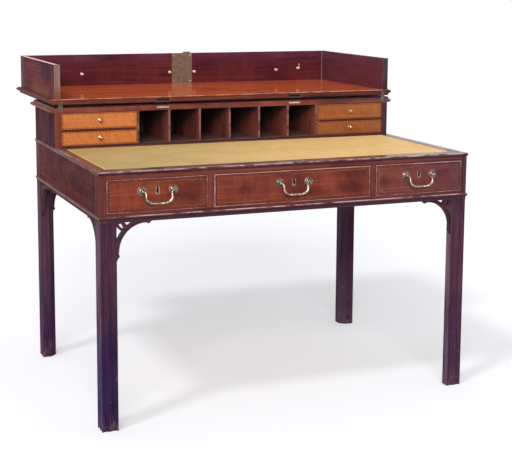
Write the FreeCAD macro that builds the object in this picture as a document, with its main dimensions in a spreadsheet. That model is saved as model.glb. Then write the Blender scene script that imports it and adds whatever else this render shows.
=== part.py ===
import FreeCAD, Part
import Sketcher
import os

# An enclosed mahogany writing table, standing open.  The origin is on the floor, under the middle
# of the whole piece; +X is to the right of someone sitting at it and +Y is away from them.
doc = FreeCAD.newDocument("WritingTable")
size_sheet = doc.addObject("Spreadsheet::Sheet", "Size")
place_sheet = doc.addObject("Spreadsheet::Sheet", "Place")

SIZES = {
    # carcass
    "width": 1220,
    "depth": 840,
    "table_height": 775,
    "post": 20,
    "lip_thick": 10,
    "core_thick": 9,
    "top_rail_height": 13,
    "top_rail_depth": 55,
    "opening_height": 100,
    "bottom_rail_height": 27,
    "bottom_rail_depth": 30,
    "back_thick": 20,
    "side_opening": 310,
    "divider_width": 20,
    "divider_depth": 60,
    "runner_width": 40,
    "runner_thick": 14,
    "guide_height": 18,
    # legs: a bead between two flutes on each outer face, the inner corner taken off
    "leg": 50,
    "leg_chamfer": 20,
    "leg_fillet": 3,
    "leg_round": 0.8,
    "leg_crown": 0.2,
    "flute_width": 17,
    "flute_depth": 3.2,
    "bead_sink": 1.8,
    # pierced C-scroll brackets
    "bracket_width": 108,
    "bracket_height": 117,
    "bracket_thick": 12,
    "bracket_inset": 3,
    "scroll_radius": 82.5,
    "scroll_band": 12.5,
    "scroll_from_leg": 91,
    "scroll_from_rail": 87,
    "strut": 9,
    "corner_block": 12.5,
    "groove_width": 4.5,
    "groove_depth": 2,
    "groove_inset": 4,
    "foot_spur": 24,
    "foot_spur_out": 10.6,
    "end_spur": 15,
    "end_spur_out": 8.5,
    "eye_reach": 24,
    # beads round the frieze and the top
    "low_bead_height": 10,
    "low_bead_out": 4,
    "low_bead_drop": 13,
    "top_bead_out": 3.5,
    # writing surface
    "leather_margin": 30,
    "leather_front": 48,
    "leather_width": 475,
    "leather_recess": 2.5,
    "leather_thick": 1.2,
    "strike_length": 88,
    "strike_width": 25,
    "strike_thick": 2,
    # cabinet at the back
    "cabinet_depth": 295,
    "cabinet_height": 115,
    "cabinet_side": 22,
    "cabinet_back_thick": 12,
    "cabinet_floor_thick": 6,
    "partition": 6,
    "small_opening": 257.5,
    "low_opening_height": 48,
    # moulded boards: the cabinet's top and the lid's panel
    "board_thick": 20,
    "mould_out": 15,
    "mould_bead": 5,
    "mould_fillet": 3.5,
    "quirk": 1.5,
    "mould_hollow": 1.2,
    "mould_lip": 1,
    # box lid, folded back on the cabinet
    "lid_gap": 5,
    "lid_wall": 20,
    "lid_setback": 14,
    "lid_clearance": 1,
    "hinge_set": 0.5,
    # hinges and aligning tenons
    "hinge_width": 14,
    "hinge_inset": 12,
    "leaf_length": 15,
    "knuckle_radius": 2.2,
    "knuckle_gap": 0.3,
    "hinge_pin_radius": 1,
    "pin_clearance": 0.08,
    "tenon_offset": 241.5,
    "tenon_width": 42,
    "tenon_thick": 5,
    "tenon_out": 4,
    "tenon_let_in": 10,
    "mortise_clearance": 1,
    "mortise_depth": 8,
    "mortise_plate_length": 52,
    "mortise_plate_width": 16,
    "mortise_plate_thick": 2,
    # lid lock
    "lock_width": 80,
    "lock_plate_out": 1.5,
    "lock_case_height": 74,
    "lock_case_depth": 15,
    "bolt_offset": 22,
    "bolt_width": 28,
    "bolt_thick": 5,
    "bolt_length": 30,
    "bolt_throw": 5,
    "bolt_swing": 2,
    "bolt_room": 1,
    "slide_clearance": 0.4,
    "lid_key_radius": 2.7,
    "cut_past": 1,
    "stud_radius": 4,
    "stud_neck": 2.4,
    "stud_plate": 5.6,
    "stud_plate_thick": 1.5,
    "stud_head": 4,
    "stud_out": 13,
    "stud_outer": 388.9,
    "stud_inner": 48.8,
    "stud_height": 43,
    "hook_offset": 483.6,
    "hook_height": 48,
    "hook_spike": 18,
    "hook_spike_radius": 2,
    # frieze drawers
    "drawer_gap": 1,
    "drawer_front": 20,
    "cock_bead": 3.5,
    "cock_bead_out": 2.5,
    "cock_bead_round": 1.4,
    "drawer_length": 560,
    "drawer_side": 10,
    "drawer_bottom": 6,
    "drawer_lift": 0.5,
    "drawer_drop": 14,
    # handles
    "handle_spread": 96,
    "handle_height": 61.5,
    "rosette_radius": 14,
    "rosette_edge": 0.9,
    "rosette_ring": 2.8,
    "rosette_ring_out": 2.3,
    "rosette_hollow": 2.4,
    "rosette_boss_out": 4.2,
    "post_radius": 3.2,
    "post_head": 5.2,
    "pivot_out": 10.4,
    "bail_radius": 2.3,
    "bail_pin_in": 1.5,
    "bail_leg_inset": 5,
    "bail_drop": 33.5,
    "bail_shoulder": 3.5,
    "bail_lean": 25,
    "bail_slope": 15,
    "bail_corner": 16,
    "grip_radius": 3.3,
    "collar_radius": 4.1,
    "collar_width": 3.4,
    "collar_gap": 1.6,
    "escutcheon_width": 12,
    "escutcheon_height": 22,
    "escutcheon_thick": 1,
    "escutcheon_band": 2.8,
    "keyhole_radius": 1.8,
    # drawer locks
    "case_width": 46,
    "case_height": 36,
    "case_depth": 9,
    "dbolt_width": 14,
    "dbolt_thick": 4,
    "dbolt_length": 28,
    "dbolt_throw": 6,
    "dbolt_room": 2,
    # small drawers
    "small_gap": 0.75,
    "small_length": 255,
    "small_front": 10,
    "small_side": 6,
    "small_bottom": 4,
    "small_drop": 6,
    "knob_radius": 6.5,
    "knob_neck": 2.6,
    "knob_plate": 7,
    "knob_plate_thick": 1,
    "knob_out": 16,
}

PLACES = {
    "half": "Size.width / 2",
    "axis_run": "Size.depth - Size.cabinet_depth - Size.hinge_set",
    "lid_back_run": "2 * axis_run - Size.lid_setback",
    "front": "-(lid_back_run + Size.mould_out - handle_out) / 2",
    "handle_out": "Size.pivot_out + Size.post_head",
    "back": "front + Size.depth",
    # heights
    "lip_low": "Size.table_height - Size.lip_thick",
    "core_low": "lip_low - Size.core_thick",
    "opening_top": "lip_low - Size.top_rail_height",
    "opening_low": "opening_top - Size.opening_height",
    "frieze_low": "opening_low - Size.bottom_rail_height",
    "leather_bed": "Size.table_height - Size.leather_recess",
    "cabinet_low": "Size.table_height + Size.cabinet_floor_thick",
    "cabinet_top_low": "Size.table_height + Size.cabinet_height",
    "cabinet_top": "cabinet_top_low + Size.board_thick",
    "axis_height": "cabinet_top + Size.lid_gap / 2",
    "panel_low": "cabinet_top + Size.lid_gap",
    "panel_top": "panel_low + Size.board_thick",
    "wall_height": "Size.cabinet_height - Size.lid_clearance",
    "wall_top": "panel_top + wall_height",
    "shelf_low": "cabinet_low + Size.low_opening_height",
    # depths
    "cabinet_front": "back - Size.cabinet_depth",
    "cabinet_rear": "back - Size.cabinet_back_thick",
    "axis": "front + axis_run",
    "lid_back": "front + lid_back_run",
    "lid_back_inside": "lid_back - Size.lid_wall",
    "bolt_run": "lid_back - Size.lid_wall / 2",
    "strike_run": "2 * axis - bolt_run",
    # widths
    "inside": "half - Size.post",
    "divider_in": "inside - Size.side_opening - Size.divider_width",
    "side_centre": "inside - Size.side_opening / 2",
    "cabinet_inside": "half - Size.cabinet_side",
    "small_centre": "cabinet_inside - Size.small_opening / 2",
    "partition_run": "cabinet_inside - Size.small_opening - Size.partition / 2",
    "pitch": "partition_run / 3",
    "hinge_centre": "half - Size.hinge_inset - Size.hinge_width / 2",
    # locks and handles
    "knuckle_length": "(Size.hinge_width - 2 * Size.knuckle_gap) / 3",
    "handle_z": "opening_low + Size.handle_height",
    "bail_neck": "Size.handle_spread / 2 - Size.bail_leg_inset",
    "bail_knee": "Size.bail_shoulder * (1 + sin(Size.bail_lean * 1 deg))",
    "bail_heel": "Size.bail_corner * (1 - sin(Size.bail_slope * 1 deg))",
    "bail_sway": "sin(Size.bail_slope * 1 deg) + sin(Size.bail_lean * 1 deg)",
    "bail_bow": "(Size.bail_drop - bail_knee - bail_heel) / bail_sway",
    "dbolt_run": "Size.drawer_front - Size.case_depth / 2",
    # legs and scrolls
    "leg_bead": "Size.leg - 2 * Size.flute_width - 2 * Size.leg_fillet",
    "scroll_outer": "Size.scroll_radius + Size.scroll_band",
    "scroll_on_rail": "Size.scroll_from_leg - sqrt(scroll_outer ^ 2 - Size.scroll_from_rail ^ 2)",
    "scroll_on_leg": "Size.scroll_from_rail - sqrt(scroll_outer ^ 2 - Size.scroll_from_leg ^ 2)",
    "groove_outer": "scroll_outer - Size.groove_inset",
    "groove_inner": "groove_outer - Size.groove_width",
}

ORIGIN_PLANES = {"top": "XY_Plane", "front": "XZ_Plane", "side": "YZ_Plane"}
LEVEL = 1e-6
subparts = []


def fill(sheet, rows, sign):
    """Put each value or formula in a row of a sheet, under its own alias."""
    for row, (name, content) in enumerate(rows.items(), 1):
        sheet.set(f"A{row}", name)
        sheet.set(f"B{row}", f"{sign}{content}")
        sheet.setAlias(f"B{row}", name)
    doc.recompute()


fill(size_sheet, SIZES, "")
fill(place_sheet, PLACES, "=")


def value(formula):
    """The number that a formula over the two sheets stands for now."""
    return float(size_sheet.evalExpression(formula))


def kept(piece, label):
    """Mark a finished piece as a sub-part of the table."""
    piece.Label = label
    subparts.append(piece)
    return piece


def board(name, x, y, z):
    """A squared board between two formulas along each axis."""
    box = doc.addObject("Part::Box", name)
    for size, axis, (low, high) in (("Length", "x", x), ("Width", "y", y), ("Height", "z", z)):
        box.setExpression(size, f"({high}) - ({low})")
        box.setExpression(f"Placement.Base.{axis}", low)
    return box


def rod(name, radius, low, high, at):
    """A round bar along Z between two heights, at a pair of formulas in plan."""
    bar = doc.addObject("Part::Cylinder", name)
    bar.setExpression("Radius", radius)
    bar.setExpression("Height", f"({high}) - ({low})")
    for axis, formula in zip("xyz", (*at, low)):
        bar.setExpression(f"Placement.Base.{axis}", formula)
    return bar


def cross_rod(name, radius, x, y, z):
    """A round bar along X between two formulas."""
    bar = doc.addObject("Part::Cylinder", name)
    bar.Placement.Rotation = FreeCAD.Rotation(FreeCAD.Vector(0, 1, 0), 90)
    bar.setExpression("Radius", radius)
    bar.setExpression("Height", f"({x[1]}) - ({x[0]})")
    for axis, formula in zip("xyz", (x[0], y, z)):
        bar.setExpression(f"Placement.Base.{axis}", formula)
    return bar


def fused(name, pieces):
    union = doc.addObject("Part::MultiFuse", name)
    union.Shapes = pieces
    union.Refine = True
    return union


def group(name, pieces):
    """Several separate solids that make one sub-part."""
    bundle = doc.addObject("Part::Compound", name)
    bundle.Links = pieces
    return bundle


def cut(name, base, tools):
    """A piece less everything in a list of cutters."""
    result = doc.addObject("Part::Cut", name)
    result.Base = base
    result.Tool = tools[0] if len(tools) == 1 else fused(f"{name}_cutters", tools)
    return result


def new_body(name, x="0", y="0", z="0"):
    body = doc.addObject("PartDesign::Body", name)
    for axis, formula in zip("xyz", (x, y, z)):
        body.setExpression(f"Placement.Base.{axis}", formula)
    return body


def new_sketch(body, name, facing, offset="0"):
    """A sketch on one of the body's own planes, moved along that plane's normal."""
    sketch = body.newObject("Sketcher::SketchObject", f"{body.Name}_{name}")
    role = ORIGIN_PLANES[facing]
    plane = next(f for f in body.Origin.OriginFeatures if f.Role == role)
    sketch.AttachmentSupport = (plane, [""])
    sketch.MapMode = "FlatFace"
    sketch.setExpression("AttachmentOffset.Base.z", offset)
    return sketch


def draw(sketch, corners, closed=True):
    """Draw a loop or a path whose every point is bound to the sheets.

    A corner is (x, y).  A corner with a third entry starts an arc to the next corner, and the
    entry is the arc's middle point.
    """
    spots = [FreeCAD.Vector(value(corner[0]), value(corner[1]), 0) for corner in corners]
    runs = len(corners) if closed else len(corners) - 1
    rules, bound, edges = [], [], []
    for index in range(runs):
        corner, start, stop = corners[index], spots[index], spots[(index + 1) % len(corners)]
        if len(corner) == 3:
            middle = FreeCAD.Vector(value(corner[2][0]), value(corner[2][1]), 0)
            clockwise = (middle - start).cross(stop - middle).z < 0
            ends = (stop, start) if clockwise else (start, stop)
            edge = sketch.addGeometry(Part.Arc(ends[0], middle, ends[1]), False)
            dot = sketch.addGeometry(Part.Point(middle), True)
            rules.append(Sketcher.Constraint("PointOnObject", dot, 1, edge))
            bound.append((dot, 1, corner[2]))
            edges.append((edge, 2, 1) if clockwise else (edge, 1, 2))
        else:
            edge = sketch.addGeometry(Part.LineSegment(start, stop), False)
            edges.append((edge, 1, 2))
        bound.append((edges[-1][0], edges[-1][1], corner[:2]))
    if not closed:
        bound.append((edges[-1][0], edges[-1][2], corners[-1][:2]))
    for index in range(runs if closed else runs - 1):
        edge, _, end = edges[index]
        following, start, _ = edges[(index + 1) % runs]
        rules.append(Sketcher.Constraint("Coincident", edge, end, following, start))
    bind(sketch, rules, bound)


def bind(sketch, rules, bound):
    """Add the rules, and tie each bound point's two distances from the origin to its formulas."""
    formulas = []
    first = sketch.ConstraintCount
    for geometry, point, pair in bound:
        for kind, formula in zip(("DistanceX", "DistanceY"), pair):
            formulas.append((first + len(rules), formula))
            rules.append(Sketcher.Constraint(kind, geometry, point, value(formula)))
    sketch.addConstraint(rules)
    for index, formula in formulas:
        sketch.setExpression(f"Constraints[{index}]", formula)


def draw_circle(sketch, x, y, radius):
    centre = FreeCAD.Vector(value(x), value(y), 0)
    up = FreeCAD.Vector(0, 0, 1)
    ring = sketch.addGeometry(Part.Circle(centre, up, value(radius)), False)
    bind(sketch, [], [(ring, 3, (x, y))])
    rule = sketch.addConstraint(Sketcher.Constraint("Radius", ring, value(radius)))
    sketch.setExpression(f"Constraints[{rule}]", radius)


def pad(body, sketch, length, reverse=False):
    """Thicken a sketch along its plane's normal, or against it."""
    feature = body.newObject("PartDesign::Pad", f"{sketch.Name}_pad")
    feature.Profile = sketch
    feature.Reversed = reverse
    feature.setExpression("Length", length)
    return feature


def pocket(body, sketch, length, reverse=False):
    """Cut a sketch into the body against its plane's normal, or along it."""
    feature = body.newObject("PartDesign::Pocket", f"{sketch.Name}_pocket")
    feature.Profile = sketch
    feature.Reversed = reverse
    feature.setExpression("Length", length)
    return feature


def revolve(body, sketch, axis="V_Axis"):
    """Turn a profile once round one of the sketch's own axes."""
    feature = body.newObject("PartDesign::Revolution", f"{sketch.Name}_turned")
    feature.Profile = sketch
    feature.ReferenceAxis = (sketch, [axis])
    feature.Angle = 360
    return feature


def sweep(body, profile, path):
    """Run a profile along every edge of a path, with mitred corners."""
    feature = body.newObject("PartDesign::AdditivePipe", f"{profile.Name}_sweep")
    feature.Profile = profile
    feature.Spine = (path, [f"Edge{n}" for n in range(1, len(path.Shape.Edges) + 1)])
    feature.Transition = "Right corner"
    return feature


def from_end(side, near, far):
    """A pair of X formulas, at two distances inward from the left or the right end."""
    if side == "left":
        return f"-Place.half + {near}", f"-Place.half + {far}"
    return f"Place.half - ({far})", f"Place.half - ({near})"


def about(centre, width):
    """A pair of formulas on both sides of a centre."""
    return f"{centre} - ({width}) / 2", f"{centre} + ({width}) / 2"


def mirrored(side):
    return "-1" if side == "left" else "1"


def run(distance):
    """A Y formula, at a distance behind the carcass's front."""
    return f"Place.front + {distance}"


# ---------------------------------------------------------------- legs

def leg(side, end):
    """A square leg with a bead between two flutes on its outer faces, and its post above."""
    sx = "1" if side == "left" else "-1"
    sy = "1" if end == "front" else "-1"
    body = new_body(f"leg_{end}_{side}", f"{mirrored(side)} * Place.half",
                    "Place.front" if end == "front" else "Place.back")
    edge, flute = "(Size.leg - 2 * Size.flute_width - Place.leg_bead) / 2", "Size.flute_width"
    marks = [edge, f"{edge} + {flute}", f"{edge} + {flute} + Place.leg_bead",
             f"{edge} + 2 * {flute} + Place.leg_bead"]
    near = [
        (marks[3], "0"),
        (marks[2], "Size.bead_sink"),
        (marks[1], "Size.bead_sink"),
        (marks[0], "0"),
    ]
    middles = [
        (f"({marks[3]} + {marks[2]}) / 2", "Size.flute_depth"),
        ("Size.leg / 2", "Size.leg_crown"),
        (f"({marks[0]} + {marks[1]}) / 2", "Size.flute_depth"),
    ]
    front_face = [(*near[0], middles[0]), (*near[1], middles[1]), (*near[2], middles[2]), near[3]]
    side_face = [(near[n][1], near[n][0]) for n in (3, 2, 1, 0)]
    side_face = [(*side_face[0], middles[2][::-1]), (*side_face[1], middles[1][::-1]),
                 (*side_face[2], middles[0][::-1]), side_face[3]]
    outline = [("Size.leg", "0")] + front_face + [("Size.leg_round", "Size.leg_round")]
    outline += side_face + [
        ("0", "Size.leg"),
        ("Size.leg - Size.leg_chamfer", "Size.leg"),
        ("Size.leg", "Size.leg - Size.leg_chamfer"),
    ]
    corners = []
    for corner in outline:
        turned = [f"{sx} * ({corner[0]})", f"{sy} * ({corner[1]})"]
        if len(corner) == 3:
            turned.append((f"{sx} * ({corner[2][0]})", f"{sy} * ({corner[2][1]})"))
        corners.append(tuple(turned))
    section = new_sketch(body, "section", "top")
    draw(section, corners)
    pad(body, section, "Place.frieze_low")
    post = new_sketch(body, "post", "top", "Place.frieze_low")
    draw(post, [("0", "0"), (f"{sx} * Size.post", "0"),
                (f"{sx} * Size.post", f"{sy} * Size.leg"), ("0", f"{sy} * Size.leg")])
    pad(body, post, "Place.lip_low - Place.frieze_low")
    return body


# ---------------------------------------------------------------- brackets

# The long eye between the two struts, as shares of its reach from the corner.
EYE = ((1, 0.805), (0.73, 0.69), (0.44, 0.44), (0.315, 0.2), (0.56, 0.125), (0.75, 0.29))


def bracket(name, mirror, facing, x, y):
    """A pierced C-scroll between a leg and the rail above it, with a hollow along its band.

    The outline is drawn in u, away from the leg, and v, down from the rail.  Mirror is 1 where
    u runs along the sketch's horizontal axis and -1 where it runs against it.
    """
    body = new_body(name, x, y, "Place.frieze_low")
    centre = ("Size.scroll_from_leg", "Size.scroll_from_rail")
    inner, outer = "Size.scroll_radius", "Place.scroll_outer"

    def at(u, v):
        return f"{mirror} * ({u})", f"-({v})"

    def ring(radius, degrees):
        """A point of the scroll, at an angle up from the horizontal towards the leg."""
        return at(f"{centre[0]} - {radius} * cos({degrees} * 1 deg)",
                  f"{centre[1]} - {radius} * sin({degrees} * 1 deg)")

    foot, end = "Size.bracket_height", "Size.bracket_width"
    foot_spur, foot_out = "Size.foot_spur", "Size.foot_spur_out"
    end_spur, end_out = "Size.end_spur", "Size.end_spur_out"
    outline = [
        at("0", foot),
        at(f"0.42 * {foot_out}", f"{foot} - 0.4 * {foot_spur}"),
        at(foot_out, f"{foot} - 0.7 * {foot_spur}"),
        at(f"0.68 * {foot_out}", f"{foot} - {foot_spur}"),
        (*ring(inner, "2"), ring(inner, "45")),
        ring(inner, "86"),
        at(f"{end} - {end_spur}", f"0.65 * {end_out}"),
        at(f"{end} - 0.6 * {end_spur}", end_out),
        at(f"{end} - 0.27 * {end_spur}", f"0.41 * {end_out}"),
        at(end, "0"),
        (*at("Place.scroll_on_rail", "0"), ring(outer, "60")),
        ring(outer, "53"),
        at("Size.corner_block + Size.strut * 1.4", "0"),
        at("0", "0"),
        at("0", "Size.corner_block"),
        (*ring(outer, "39"), ring(outer, "30")),
        at("0", "Place.scroll_on_leg"),
    ]
    face = new_sketch(body, "face", facing)
    draw(face, outline)
    pad(body, face, "Size.bracket_thick", facing == "front")
    eye, reach = new_sketch(body, "eye", facing), "Size.eye_reach"
    draw(eye, [at(f"{u} * {reach}", f"{v} * {reach}") for u, v in EYE])
    pocket(body, eye, "Size.bracket_thick", facing == "side")
    return body


def bracket_groove(body, facing, mirror, offset, reverse):
    """The shallow hollow that runs round the outward face of the scroll."""
    groove = new_sketch(body, "groove", facing, offset)

    def ring(radius, degrees):
        u = f"Size.scroll_from_leg - {radius} * cos({degrees} * 1 deg)"
        v = f"Size.scroll_from_rail - {radius} * sin({degrees} * 1 deg)"
        return f"{mirror} * ({u})", f"-({v})"

    outer, inner = "Place.groove_outer", "Place.groove_inner"
    draw(groove, [(*ring(outer, "8"), ring(outer, "45")), ring(outer, "82"),
                  (*ring(inner, "82"), ring(inner, "45")), ring(inner, "8")])
    pocket(body, groove, "Size.groove_depth", reverse)


def bracket_pair(side, end):
    """The two brackets of one leg: one under the front or back rail and one under the side."""
    name = f"brackets_{end}_{side}"
    thick, inset = "Size.bracket_thick", "Size.bracket_inset"
    x_mirror = "1" if side == "left" else "-1"
    y_mirror = "1" if end == "front" else "-1"
    leg_x = f"-({x_mirror}) * (Place.half - Size.leg)"
    near_y = run(inset) if end == "front" else f"Place.back - {inset} - {thick}"
    across = bracket(f"{name}_across", x_mirror, "front", leg_x, near_y)
    bracket_groove(across, "front", x_mirror, "0" if end == "front" else f"-{thick}", end == "back")
    near_x = f"-Place.half + {inset}" if side == "left" else f"Place.half - {inset} - {thick}"
    leg_y = run("Size.leg") if end == "front" else "Place.back - Size.leg"
    along = bracket(f"{name}_along", y_mirror, "side", near_x, leg_y)
    bracket_groove(along, "side", y_mirror, "0" if side == "left" else thick, side == "left")
    return group(name, [across, along])


for end in ("front", "back"):
    for side in ("left", "right"):
        kept(leg(side, end), f"leg_{end}_{side}")
        kept(bracket_pair(side, end), f"brackets_{end}_{side}")


# ---------------------------------------------------------------- frieze

frieze = ("Place.frieze_low", "Place.lip_low")
between_legs = (run("Size.leg"), "Place.back - Size.leg")
between_sides = ("-Place.inside", "Place.inside")
for side in ("left", "right"):
    kept(board(f"frieze_side_{side}_wood", from_end(side, "0", "Size.post"), between_legs, frieze),
         f"frieze_side_{side}")
kept(board("frieze_back_wood", between_sides,
           ("Place.back - Size.back_thick", "Place.back"), frieze), "frieze_back")
kept(board("bottom_rail_wood", between_sides, ("Place.front", run("Size.bottom_rail_depth")),
           ("Place.frieze_low", "Place.opening_low")), "bottom_rail")

DRAWERS = {
    "left": ("(-Place.side_centre)", "Size.side_opening"),
    "middle": ("(0)", "(2 * Place.divider_in)"),
    "right": ("Place.side_centre", "Size.side_opening"),
}

rail = board("top_rail_wood", between_sides, ("Place.front", run("Size.top_rail_depth")),
             ("Place.opening_top", "Place.lip_low"))
mortises = []
for name, (centre, _) in DRAWERS.items():
    mortises.append(board(f"rail_mortise_{name}",
                          about(centre, "(Size.dbolt_width + 2 * Size.dbolt_room)"),
                          about(run("Place.dbolt_run"), "(Size.dbolt_thick + 2 * Size.dbolt_room)"),
                          ("Place.opening_top",
                           "Place.opening_top + Size.dbolt_throw + Size.dbolt_room")))
kept(cut("top_rail_cut", rail, mortises), "top_rail")

dividers = []
for side in ("left", "right"):
    span = from_end(side, "Size.post + Size.side_opening",
                    "Size.post + Size.side_opening + Size.divider_width")
    dividers.append(board(f"divider_{side}", span, ("Place.front", run("Size.divider_depth")),
                          ("Place.opening_low", "Place.opening_top")))
kept(group("dividers", dividers), "drawer_dividers")

runner_back = "Place.back - Size.back_thick"
runner_bed = ("Place.opening_low - Size.runner_thick", "Place.opening_low")
guide_rise = ("Place.opening_low", "Place.opening_low + Size.guide_height")
runners = []
for side in ("left", "right"):
    behind_rail = (run("Size.bottom_rail_depth"), runner_back)
    wall = board(f"runner_{side}", from_end(side, "Size.post", "Size.post + Size.runner_width / 2"),
                 behind_rail, runner_bed)
    middle = "Size.post + Size.side_opening + Size.divider_width / 2"
    shared = board(f"runner_mid_{side}",
                   from_end(side, f"{middle} - Size.runner_width / 2",
                            f"{middle} + Size.runner_width / 2"), behind_rail, runner_bed)
    guide = board(f"guide_{side}",
                  from_end(side, f"{middle} - Size.divider_width / 2",
                           f"{middle} + Size.divider_width / 2"),
                  (run("Size.divider_depth"), runner_back), guide_rise)
    runners += [wall, fused(f"runner_guide_{side}", [shared, guide])]
kept(group("runners", runners), "drawer_runners")


# ---------------------------------------------------------------- beads round the carcass

def half_round(name, low, height, out):
    """A half-round bead along the left side, the front and the right side, mitred."""
    body = new_body(name, "0", "0", low)
    path = new_sketch(body, "path", "top")
    draw(path, [("-Place.half", "Place.back"), ("-Place.half", "Place.front"),
                ("Place.half", "Place.front"), ("Place.half", "Place.back")], closed=False)
    section = new_sketch(body, "section", "front", "-Place.back")
    draw(section, [("-Place.half", "0"),
                   (f"-Place.half - {out} / 2", "0", (f"-Place.half - {out}", f"{height} / 2")),
                   (f"-Place.half - {out} / 2", height), ("-Place.half", height)])
    doc.recompute()
    sweep(body, section, path)
    return body


kept(half_round("low_bead", "Place.opening_low - Size.low_bead_drop - Size.low_bead_height / 2",
                "Size.low_bead_height", "Size.low_bead_out"), "bottom_bead")
kept(half_round("high_bead", "Place.lip_low", "Size.lip_thick", "Size.top_bead_out"), "top_bead")


# ---------------------------------------------------------------- writing surface

whole_x = ("-Place.half", "Place.half")
lip = board("lip", whole_x, ("Place.front", "Place.back"), ("Place.lip_low", "Size.table_height"))
core = board("core", between_sides,
             (run("Size.top_rail_depth"), "Place.back - Size.back_thick"),
             ("Place.core_low", "Place.lip_low"))
leather_x = ("-Place.half + Size.leather_margin", "Place.half - Size.leather_margin")
leather_y = (run("Size.leather_front"), run("Size.leather_front + Size.leather_width"))
bed = board("leather_seat", leather_x, leather_y, ("Place.leather_bed", "Size.table_height"))
strike_x = ("-Size.strike_length / 2", "Size.strike_length / 2")
strike_y = about("Place.strike_run", "Size.strike_width")
strike_z = ("Size.table_height - Size.strike_thick", "Size.table_height")
strike_slot_x = about("Size.bolt_offset", "(Size.bolt_width + 2 * Size.bolt_swing)")
strike_slot_y = about("Place.strike_run", "(Size.bolt_thick + 2 * Size.bolt_swing)")
strike_depth = ("Size.table_height - Size.bolt_throw - Size.bolt_swing",
                "Size.table_height + Size.cut_past")
strike_seat = board("strike_seat", strike_x, strike_y, strike_z)
strike_mortise = board("strike_mortise", strike_slot_x, strike_slot_y, strike_depth)
kept(cut("writing_top_cut", fused("writing_board", [lip, core]),
         [bed, strike_seat, strike_mortise]), "writing_top")
kept(board("leather", leather_x, leather_y,
           ("Place.leather_bed", "Place.leather_bed + Size.leather_thick")), "writing_leather")
strike_slot = board("strike_slot", strike_slot_x, strike_slot_y, strike_depth)
kept(cut("strike_cut", board("strike", strike_x, strike_y, strike_z), [strike_slot]),
     "strike_plate")


# ---------------------------------------------------------------- cabinet at the back

cabinet_rise = ("Size.table_height", "Place.cabinet_top_low")
for side in ("left", "right"):
    kept(board(f"cabinet_{side}", from_end(side, "0", "Size.cabinet_side"),
               ("Place.cabinet_front", "Place.back"), cabinet_rise), f"cabinet_side_{side}")
cabinet_x = ("-Place.cabinet_inside", "Place.cabinet_inside")
cabinet_y = ("Place.cabinet_front", "Place.cabinet_rear")
kept(board("cabinet_rear_board", cabinet_x, ("Place.cabinet_rear", "Place.back"), cabinet_rise),
     "cabinet_back")
kept(board("cabinet_floor_board", cabinet_x, cabinet_y,
           ("Size.table_height", "Place.cabinet_low")), "cabinet_floor")
partitions = []
for number in range(-3, 4):
    partitions.append(board(f"partition_{number + 3}",
                            about(f"({number}) * Place.pitch", "Size.partition"),
                            cabinet_y, ("Place.cabinet_low", "Place.cabinet_top_low")))
for side in ("left", "right"):
    partitions.append(board(f"shelf_{side}",
                            from_end(side, "Size.cabinet_side",
                                     "Size.cabinet_side + Size.small_opening"),
                            cabinet_y, ("Place.shelf_low", "Place.shelf_low + Size.partition")))
kept(group("partitions", partitions), "cabinet_partitions")


def moulded_board(name, low, near, far, flip):
    """A board with a flat front edge and a bead-and-hollow moulding on its other three edges.

    The bead is near the bottom, or near the top where flip is true.
    """
    body = new_body(name, "0", "0", low)
    slab = new_sketch(body, "slab", "top")
    draw(slab, [("-Place.half", near), ("Place.half", near), ("Place.half", far),
                ("-Place.half", far)])
    pad(body, slab, "Size.board_thick")
    path = new_sketch(body, "path", "top")
    draw(path, [("-Place.half", near), ("-Place.half", far), ("Place.half", far),
                ("Place.half", near)], closed=False)
    section = new_sketch(body, "section", "front", f"-({near})")
    bead, thick, rise = "Size.mould_bead", "Size.board_thick", "Size.quirk"

    def at(out, up):
        return f"-Place.half - ({out})", f"{thick} - ({up})" if flip else up

    crown = f"{rise} + 2 * {bead}"
    draw(section, [
        at("0", "0"),
        at(f"Size.mould_out - {bead} - {rise}", "0"),
        at(f"Size.mould_out - {bead} - {rise}", rise),
        (*at(f"Size.mould_out - {bead}", rise), at("Size.mould_out", f"{rise} + {bead}")),
        at(f"Size.mould_out - {bead}", crown),
        (*at(f"Size.mould_out - {bead} - {rise}", crown),
         at("Size.mould_fillet + Size.mould_hollow", f"({crown} + {thick}) / 2")),
        at("Size.mould_fillet", f"{thick} - Size.mould_lip"),
        at("Size.mould_fillet", thick),
        at("0", thick),
    ])
    doc.recompute()
    sweep(body, section, path)
    return body


top_board = moulded_board("cabinet_board", "Place.cabinet_top_low", "Place.cabinet_front",
                          "Place.back", False)
panel_board = moulded_board("lid_board", "Place.panel_low", "Place.cabinet_front",
                            "Place.lid_back", True)


# ---------------------------------------------------------------- hinges and tenons

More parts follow.
